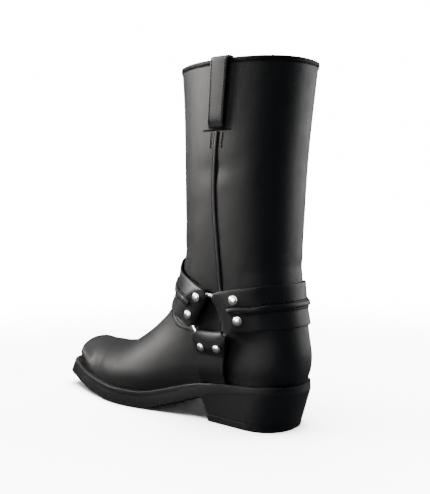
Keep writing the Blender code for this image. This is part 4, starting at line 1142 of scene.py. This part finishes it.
# %% [markdown]
# ## Keepers, rivets and rings
# A narrow strip, rounded on top, is stitched along the middle of each leg strap, and dashes of
# thread run close to both of its edges. It is a half-round section laid on the strap's outer face,
# narrowing between the rivets. A rivet is a turned piece: a short profile swept round its own axis
# and set square to the strap. A ring is a circle swept round a circle.

# %% Keepers and their stitches


def outward_normals(face):
    """Normals of a face, turned away from the leg's middle."""
    square = face_normals(face)
    away = face - np.array([RING_X, 0.0, RING_Z])
    return square * np.sign((square * away).sum(axis=-1).mean())


def strap_top(leg_strap, reach, across):
    """The upper face of a leg strap's outer layer."""
    near = np.minimum(reach, leg_strap.last - reach)
    half = STRAP_THICKNESS / 2
    return strap_face(leg_strap.strap, reach, 0 * reach + BEND + half, top_lift(near) + half, across,
                      leg_strap.length, leg_strap.backward)


KEEPER_ROOM = KEEPER_HALF + 3.0
for leg_strap in leg_straps:
    first, last = leg_strap.strap.keeper, leg_strap.last
    end_at = first + np.array([0.0, 0.2, 0.5])
    reach = np.concatenate([end_at, np.linspace(first + 1.0, last - first - 1.0, 150), last - end_at[::-1]])
    near = np.minimum(reach, last - reach)
    face = strap_top(leg_strap, reach, ACROSS * KEEPER_ROOM)
    square = outward_normals(face)
    arc = np.linspace(0, np.pi, 15)
    slim = 0.78 + 0.22 * smoothstep(first, first + 14.0, near)
    end = np.sqrt(smoothstep(first - 0.2, first + 1.0, near))
    share = np.concatenate([np.cos(arc), np.linspace(-0.8, 0.8, 5)])
    rise = np.concatenate([0.12 + 0.88 * np.sin(arc) ** 0.7, np.full(5, 0.1)])
    name = leg_strap.strap.name.replace("strap", "keeper")
    half = slim * (0.5 + 0.5 * end) * KEEPER_HALF / KEEPER_ROOM
    tall = (0.25 + 0.75 * end * slim ** 0.3) * KEEPER_HEIGHT
    sections = capped(on_face(face, square, share * half[:, None], GAP + rise * tall[:, None]))
    piece("harness_" + name, sections, grid_faces(*sections.shape[:2], False, True), strap_leather,
          [name])
    beside = ((slim * KEEPER_HALF + 1.3) / KEEPER_ROOM)[:, None]
    rows = [stitch_row(on_face(face, square, edge, 0.1)[3:-3, 0], square[3:-3, MID], 4.0, 3.0, 0.55)
            for edge in (-beside, beside)]
    stitches(name + "_stitching", rows)

# %% Rivets
DOME = np.linspace(0, np.pi / 2, 9)
RIVET_R = np.concatenate([[3.8, 4.25, 4.3, 4.16, 3.9], 3.78 * np.cos(DOME)])
RIVET_Z = np.concatenate([[0.0, 0.06, 0.30, 0.50, 0.55], 0.57 + 1.83 * np.sin(DOME)])


def rivet(name, strap, place, spread, length, backward):
    """A turned rivet: its profile swept round the strap's normal at a place on the strap."""
    near = place if length is None else min(place, length - 2 * RING_RADIUS - place)
    reach, across = place + np.array([-2.0, 0.0, 2.0]), spread + np.array([-2.0, 0.0, 2.0])
    lift = STRAP_THICKNESS / 2 + GAP + 0.1
    patch = strap_face(strap, reach, np.full(3, BEND + lift), np.full(3, float(top_lift(near)) + lift),
                       across, length, backward)
    normal = unit(np.cross(patch[2, 1] - patch[0, 1], patch[1, 2] - patch[1, 0]))
    normal = normal * np.sign(normal @ (patch[1, 1] - np.array([RING_X, 0.0, RING_Z])))
    first = unit(np.cross(normal, [0.3, 0.2, 1.0]))
    second = np.cross(normal, first)
    around = np.linspace(0, 2 * np.pi, 40, endpoint=False)
    spoke = np.cos(around)[:, None] * first + np.sin(around)[:, None] * second
    points = patch[1, 1] + RIVET_R[:, None, None] * spoke + RIVET_Z[:, None, None] * normal
    points = np.concatenate([np.broadcast_to(patch[1, 1], points[:1].shape), points])
    piece("harness_" + name, points, grid_faces(*points.shape[:2], False, True), nickel, [name])


for strap, backward, length, last in leg_straps:
    for side, place in (("outer", strap.rivets), ("inner", last - strap.rivets)):
        for number, spread in enumerate((strap.spread, -strap.spread), start=1):
            name = strap.name.replace("strap", "rivet")
            rivet(f"{name}_{side}_{number}", strap, place, spread, length, backward)
for side, inner in SIDES:
    for number, spread in enumerate((LOWER_STRAP.spread, -LOWER_STRAP.spread), start=1):
        rivet(f"rivet_lower_{side}_{number}", LOWER_STRAP, LOWER_STRAP.rivets, spread, None, inner)

# %% Rings
around = np.linspace(0, 2 * np.pi, 96, endpoint=False)
section = np.linspace(0, 2 * np.pi, 20, endpoint=False)
for side, inner in SIDES:
    ring = RING_FRAMES[inner]
    spoke = np.cos(around)[:, None, None] * ring.forward + np.sin(around)[:, None, None] * ring.up
    points = (ring.centre + (RING_RADIUS + ROD_RADIUS * np.cos(section))[None, :, None] * spoke
              + (ROD_RADIUS * np.sin(section))[None, :, None] * ring.normal)
    piece("harness_ring_" + side, points, grid_faces(*points.shape[:2], True, True), nickel,
          ["ring_" + side])

# %% [markdown]
# ## Collar, pull straps and side seams
# The rim is bound with a folded strip and a stitch line just under it. A pull strap climbs each
# side from a slit in the shaft, stands a little off, goes over the rim and down inside. Below the
# slit a thin corded bead runs down the side seam to the ring; its lighter grey than the upper is a
# painted highlight on its crest. Two flat near-black strips beside it are painted shade where the
# seam's grooves lie, and a low near-black bead across the shaft is the slit's painted shade. All are
# sections carried along lines on the upper's own surface, so they follow the leg.

# %% Collar binding
BINDING_DEPTH, BINDING_THICKNESS = 3.2, 0.5
RIM_Z = RINGS[-1].front_z


def below_rim(distance):
    """Height share of a line at a distance below the rim."""
    return 1 - distance / (RIM_Z - RINGS[-2].front_z) / (len(RINGS) - 1)


turns = np.arange(COLUMNS) / COLUMNS
far, near_face = GAP + BINDING_THICKNESS, GAP
lining, inside_face = WALL + 2 * GAP + BINDING_THICKNESS, WALL + 2 * GAP
arc = np.linspace(0, np.pi, 11)
BINDING = [(BINDING_DEPTH, near_face + 0.05, 0.0), (BINDING_DEPTH, far - 0.2, 0.0),
           (BINDING_DEPTH - 0.2, far, 0.0), (1.5, far + 0.05, 0.0)]
BINDING += [(0.0, (far - lining) / 2 + (far + lining) / 2 * math.cos(a), far * math.sin(a) ** 0.6)
            for a in arc]
BINDING += [(1.5, -lining, 0.0), (BINDING_DEPTH - 0.2, -lining, 0.0), (BINDING_DEPTH, -lining + 0.2, 0.0),
            (BINDING_DEPTH, -inside_face - 0.05, 0.0), (0.0, -inside_face, near_face),
            (0.0, near_face, near_face)]
drop, offset, rise = np.array(BINDING).T
heights = below_rim(drop)[:, None] + 0 * turns
points = surface(heights, turns) + normals(heights, turns) * offset[:, None, None]
points[..., 2] += rise[:, None]
piece("boot_collar_binding", points, grid_faces(len(drop), COLUMNS, True, True), binding_leather,
      ["collar_binding"])

loop = np.linspace(0, 1, 400)
under = np.full_like(loop, below_rim(3.9))
stitches("collar_stitching", [skin_row(under, loop, 0.1, 2.8, 2.1, 0.42)])

# %% Pull straps
PULL_HALF_TOP, PULL_HALF_FOOT, PULL_THICKNESS, PULL_BOTTOM, PULL_INSIDE = 9.0, 8.5, 1.8, 278.5, 296.0
OUTSIDE_ROWS, CROSS_ROW = 40, 4
SEAM_LINE = [Place(18, 84), Place(18, 120), Place(17.7, 144), Place(18.7, 176), Place(19.7, 213),
             Place(17, 250), Place(13, 278), Place(5, BOOT_HEIGHT)]


def seam_x(z):
    """The side seam's place along the foot at a height."""
    return table(SEAM_LINE, "z", "x", z)


def pull_face(inner):
    """A pull strap's middle face: up the outside, over the rim by a half superellipse, down inside."""
    rise = np.linspace(PULL_BOTTOM, RIM_Z, OUTSIDE_ROWS)
    arc = np.linspace(0, np.pi, 26)[1:-1]
    fall = np.linspace(RIM_Z, PULL_INSIDE, 26)
    outside = spline([278.5, 284, 300, 318, 338.5], [1.5, 3.2, 4.1, 4.4, 4.4], rise)
    within = spline([296, 312, 326, 338.5], [-4.0, -4.8, -6.2, -7.0], fall)
    z = np.concatenate([rise, 0 * arc + RIM_Z, fall])
    over = np.sign(np.cos(arc)) * np.abs(np.cos(arc)) ** 0.8
    offset = np.concatenate([outside, -1.3 + 5.7 * over, within])
    lift = np.concatenate([0 * rise, 2.5 * np.sin(arc) ** 0.8, 0 * fall])
    half = PULL_HALF_FOOT + (PULL_HALF_TOP - PULL_HALF_FOOT) * smoothstep(PULL_BOTTOM, RIM_Z, z)
    across = ACROSS * half[:, None]
    level = z[:, None] + 0 * across
    height, turn = side_place(seam_x(level) + across, level, inner)
    points = surface(height, turn) + normals(height, turn) * offset[:, None, None]
    points[..., 2] += lift[:, None]
    return points


for side, inner in SIDES:
    face = pull_face(inner)
    thick_strap("boot_pull_strap_" + side, face, 8.8, PULL_THICKNESS, "pull_strap_" + side)
    face = face[:OUTSIDE_ROWS]
    square = outward_normals(face)
    top_of = PULL_THICKNESS / 2 + 0.05
    rows = [stitch_row(on_face(face, square, share, top_of)[:, 0], square[:, MID], 3.2, 2.4, 0.42)
            for share in (-0.8, 0.8)]
    cross = on_face(face, square, np.linspace(-0.75, 0.75, 20), top_of)[CROSS_ROW]
    rows.append(stitch_row(cross, square[CROSS_ROW][np.linspace(3, 21, 20).astype(int)], 2.8, 2.3, 0.45))
    stitches("pull_strap_stitching_" + side, rows)

# %% Side seams and slits


def bead(name, x, z, half, height, inner, nodes, finish):
    """A half-round bead along a line on the side: its section is an arc of that half width and height."""
    arc = np.linspace(0, np.pi, 9)
    share = np.concatenate([np.cos(arc), [-0.5, 0.5]]) * half
    rise = np.concatenate([np.sin(arc) ** 0.8, [0.0, 0.0]])
    ahead = unit(np.gradient(np.stack([x, z], axis=-1), axis=0))
    at_x, at_z = x[:, None] - share * ahead[:, 1:], z[:, None] + share * ahead[:, :1]
    level, turn = side_place(at_x, at_z, inner)
    lift = GAP + 0.05 + rise * height[:, None]
    points = capped(surface(level, turn) + normals(level, turn) * lift[..., None])
    piece(name, points, grid_faces(*points.shape[:2], False, True), finish, nodes)


for side, inner in SIDES:
    z = np.linspace(86.0, 275.5, 150)
    under_rod = smoothstep(112, 118, z) * (1 - smoothstep(129, 135, z))
    height = 1.25 - 0.65 * under_rod - 0.5 * (1 - smoothstep(84, 92, z))
    name = "side_piping_" + side
    # The bead's lighter grey finish is a painted highlight along its crest.
    bead("boot_" + name, seam_x(z), z, 1.6, height, inner, [name], cord_leather_painted_highlight)
    # Two flat near-black strips beside the bead: painted shade where the seam's grooves lie.
    for number, shift in enumerate((-2.3, 2.3), start=1):
        bead(f"seam_groove_{side}_{number}", seam_x(z) + shift, z, 0.7, 0 * z + 0.12, inner, (), edge_dye)
    # A low near-black bead across the shaft: painted shade of the slit the pull strap comes out of.
    x = np.linspace(-2.5, 30.5, 40)
    height = 0.5 * rounding(16.5 - np.abs(x - 14), 6, 2)
    bead("pull_slit_" + side, x, 0 * x + 277.0, 0.8, height, inner, (), edge_dye)
    z = np.linspace(275.0, 260.5, 14)
    rows = [skin_row(*side_place(seam_x(z) + shift, z, inner), 0.1, 2.7, 2.6, 0.5) for shift in (-6.6, 6.4)]
    stitches("slit_stitching_" + side, rows)

# %% Vamp stitching
turn = np.linspace(0.235, 0.765, 500)
level = vamp_edge(turn) - 0.010
lift = (VAMP_STEP + 0.05 + folds(surface(level, turn)))[:, None]
stitches("vamp_stitching", [skin_row(level, turn, lift, 3.2, 2.5, 0.5)])

# %% [markdown]
# ## Studio
# The boot stands on a white sweep that runs out into a white background. A light of its own washes
# the paper, and only the paper, so the boot still throws its soft shadow there. To every ray but the
# camera's the paper is dark: black leather shows whatever is round it, and in the photo its lower
# sides mirror a dim room.

# %% Paper
PAPER_HALF, PAPER_DROP = 3000.0, 0.2


def for_camera(tree, other, seen, output):
    """Shows one shader to the camera and another to every other ray."""
    ray, chosen = node(tree, "ShaderNodeLightPath"), node(tree, "ShaderNodeMixShader")
    for number, source in enumerate((ray.outputs["Is Camera Ray"], other.outputs[0], seen.outputs[0])):
        tree.links.new(source, chosen.inputs[number])
    tree.links.new(chosen.outputs[0], output.inputs[0])


corner = np.array([[-1, -1], [1, -1], [1, 1], [-1, 1]]) * PAPER_HALF
corner = np.column_stack([corner, np.full(4, -PAPER_DROP)])
paper = bpy.data.meshes.new("paper_sweep")
paper.from_pydata((corner * MM).tolist(), [], [(0, 1, 2, 3)])
floor = bpy.data.objects.new("paper_sweep", paper)
bpy.context.scene.collection.objects.link(floor)
floor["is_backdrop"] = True
white, tree, shader, place = new_finish("white_paper")
fibre = node(tree, "ShaderNodeTexNoise", {"Scale": 900.0, "Detail": 2.0})
tree.links.new(place, fibre.inputs["Vector"])
tone = mix(tree, fibre.outputs["Fac"], (0.86, 0.86, 0.87), (0.90, 0.90, 0.91))
tree.links.new(tone, shader.inputs["Base Color"])
shader.inputs["Roughness"].default_value = 0.6
radius = node(tree, "ShaderNodeVectorMath", operation="LENGTH")
tree.links.new(place, radius.inputs[0])
far_off = node(tree, "ShaderNodeMapRange", {"From Min": 0.35, "From Max": 0.9},
               interpolation_type="SMOOTHSTEP")
tree.links.new(radius.outputs["Value"], far_off.inputs["Value"])
glow = node(tree, "ShaderNodeEmission", {"Color": (1.0, 1.0, 1.0, 1.0), "Strength": 16.0})
dim = node(tree, "ShaderNodeBsdfDiffuse", {"Color": (0.010, 0.011, 0.013, 1.0)})
into_white = node(tree, "ShaderNodeMixShader")
for number, source in enumerate((far_off.outputs["Result"], shader.outputs[0], glow.outputs[0])):
    tree.links.new(source, into_white.inputs[number])
for_camera(tree, dim, into_white, tree.nodes["Material Output"])
paper.materials.append(white)

# %% World
world = bpy.data.worlds.new("studio")
world.use_nodes = True
bpy.context.scene.world = world
sky = world.node_tree
sky.nodes.clear()
seen = node(sky, "ShaderNodeBackground", {"Color": (1.0, 1.0, 1.0, 1.0), "Strength": 16.0})
lit = node(sky, "ShaderNodeBackground", {"Color": (0.80, 0.88, 1.0, 1.0), "Strength": 0.14})
for_camera(sky, lit, seen, node(sky, "ShaderNodeOutputWorld"))
print("paper and world made")

# %% [markdown]
# The key stands on the left behind a grid, aimed at the shaft: it gives the broad sheen there and
# falls off toward the toe's side, as in the photo. One from above lights the toe's and the straps'
# tops, a tall soft one behind on the right draws the back edge, and a weak one beside the camera
# opens the harness. A last one falls only on the nickel: a photographer holds a card there so that
# the domes do not go black.

# %% Lights and camera
MIDDLE = Vector((0.03, 0.0, 0.17))
LEFT, AWAY = Vector((0.757, 0.653, 0.0)), Vector((0.653, -0.757, 0.0))


def soft_light(name, left, away, up, width, height, watts, colour=(1.0, 1.0, 1.0), aim=0.0, spread=180):
    """An area light set by metres left of, away from and above the boot's middle.

    It points at that middle, or aim metres above it, and a grid can narrow its spread in degrees.
    """
    data = bpy.data.lights.new(name, "AREA")
    data.shape, data.size, data.size_y, data.energy = "RECTANGLE", width, height, watts
    data.color, data.spread = colour, math.radians(spread)
    made = bpy.data.objects.new(name, data)
    made.location = MIDDLE + LEFT * left + AWAY * away + Vector((0, 0, up))
    target = MIDDLE + Vector((0, 0, aim))
    made.rotation_euler = (target - made.location).to_track_quat("-Z", "Y").to_euler()
    bpy.context.scene.collection.objects.link(made)
    return made


def only_on(light, name, objects):
    """Lets a light fall on some objects only."""
    lit_objects = bpy.data.collections.new(name)
    for shown in objects:
        lit_objects.objects.link(shown)
    light.light_linking.receiver_collection = lit_objects


soft_light("key_left", 1.2, 0.17, 0.62, 1.0, 0.6, 5.3, (1.0, 0.97, 0.93), aim=0.17, spread=40)
soft_light("top", 0.35, 0.45, 1.3, 1.0, 1.0, 16.0)
soft_light("rim_right", -1.0, 0.5, 0.10, 0.7, 1.3, 13.0)
soft_light("camera_fill", 0.70, -0.80, 0.05, 0.7, 0.7, 1.6)
glint = soft_light("metal_glint", 0.55, -0.85, 0.30, 0.9, 0.9, 34.0)
only_on(glint, "lit_metal", [shown for shown in bpy.context.scene.objects
                             if shown.type == "MESH" and shown.data.materials[:1] == [nickel]])
wash = soft_light("paper_wash", 0.0, 0.0, 1.6, 1.8, 1.8, 480.0)
only_on(wash, "washed_paper", [floor])
print("lights set")

camera_data = bpy.data.cameras.new("camera")
camera_data.sensor_width, camera_data.lens = 36.0, 54.0
camera = bpy.data.objects.new("camera", camera_data)
camera.location = (-0.4273, 0.5623, 0.2164)
pitch = math.radians(3.87)
view = AWAY.normalized() * math.cos(pitch) + Vector((0, 0, -math.sin(pitch)))
camera.rotation_euler = view.to_track_quat("-Z", "Y").to_euler()
bpy.context.scene.collection.objects.link(camera)
bpy.context.scene.camera = camera
print("camera at", [round(v, 3) for v in camera.location])

# %% Measure and finish
low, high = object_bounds()
print("visual box in mm:", [round(side * 1000, 1) for side in high - low])
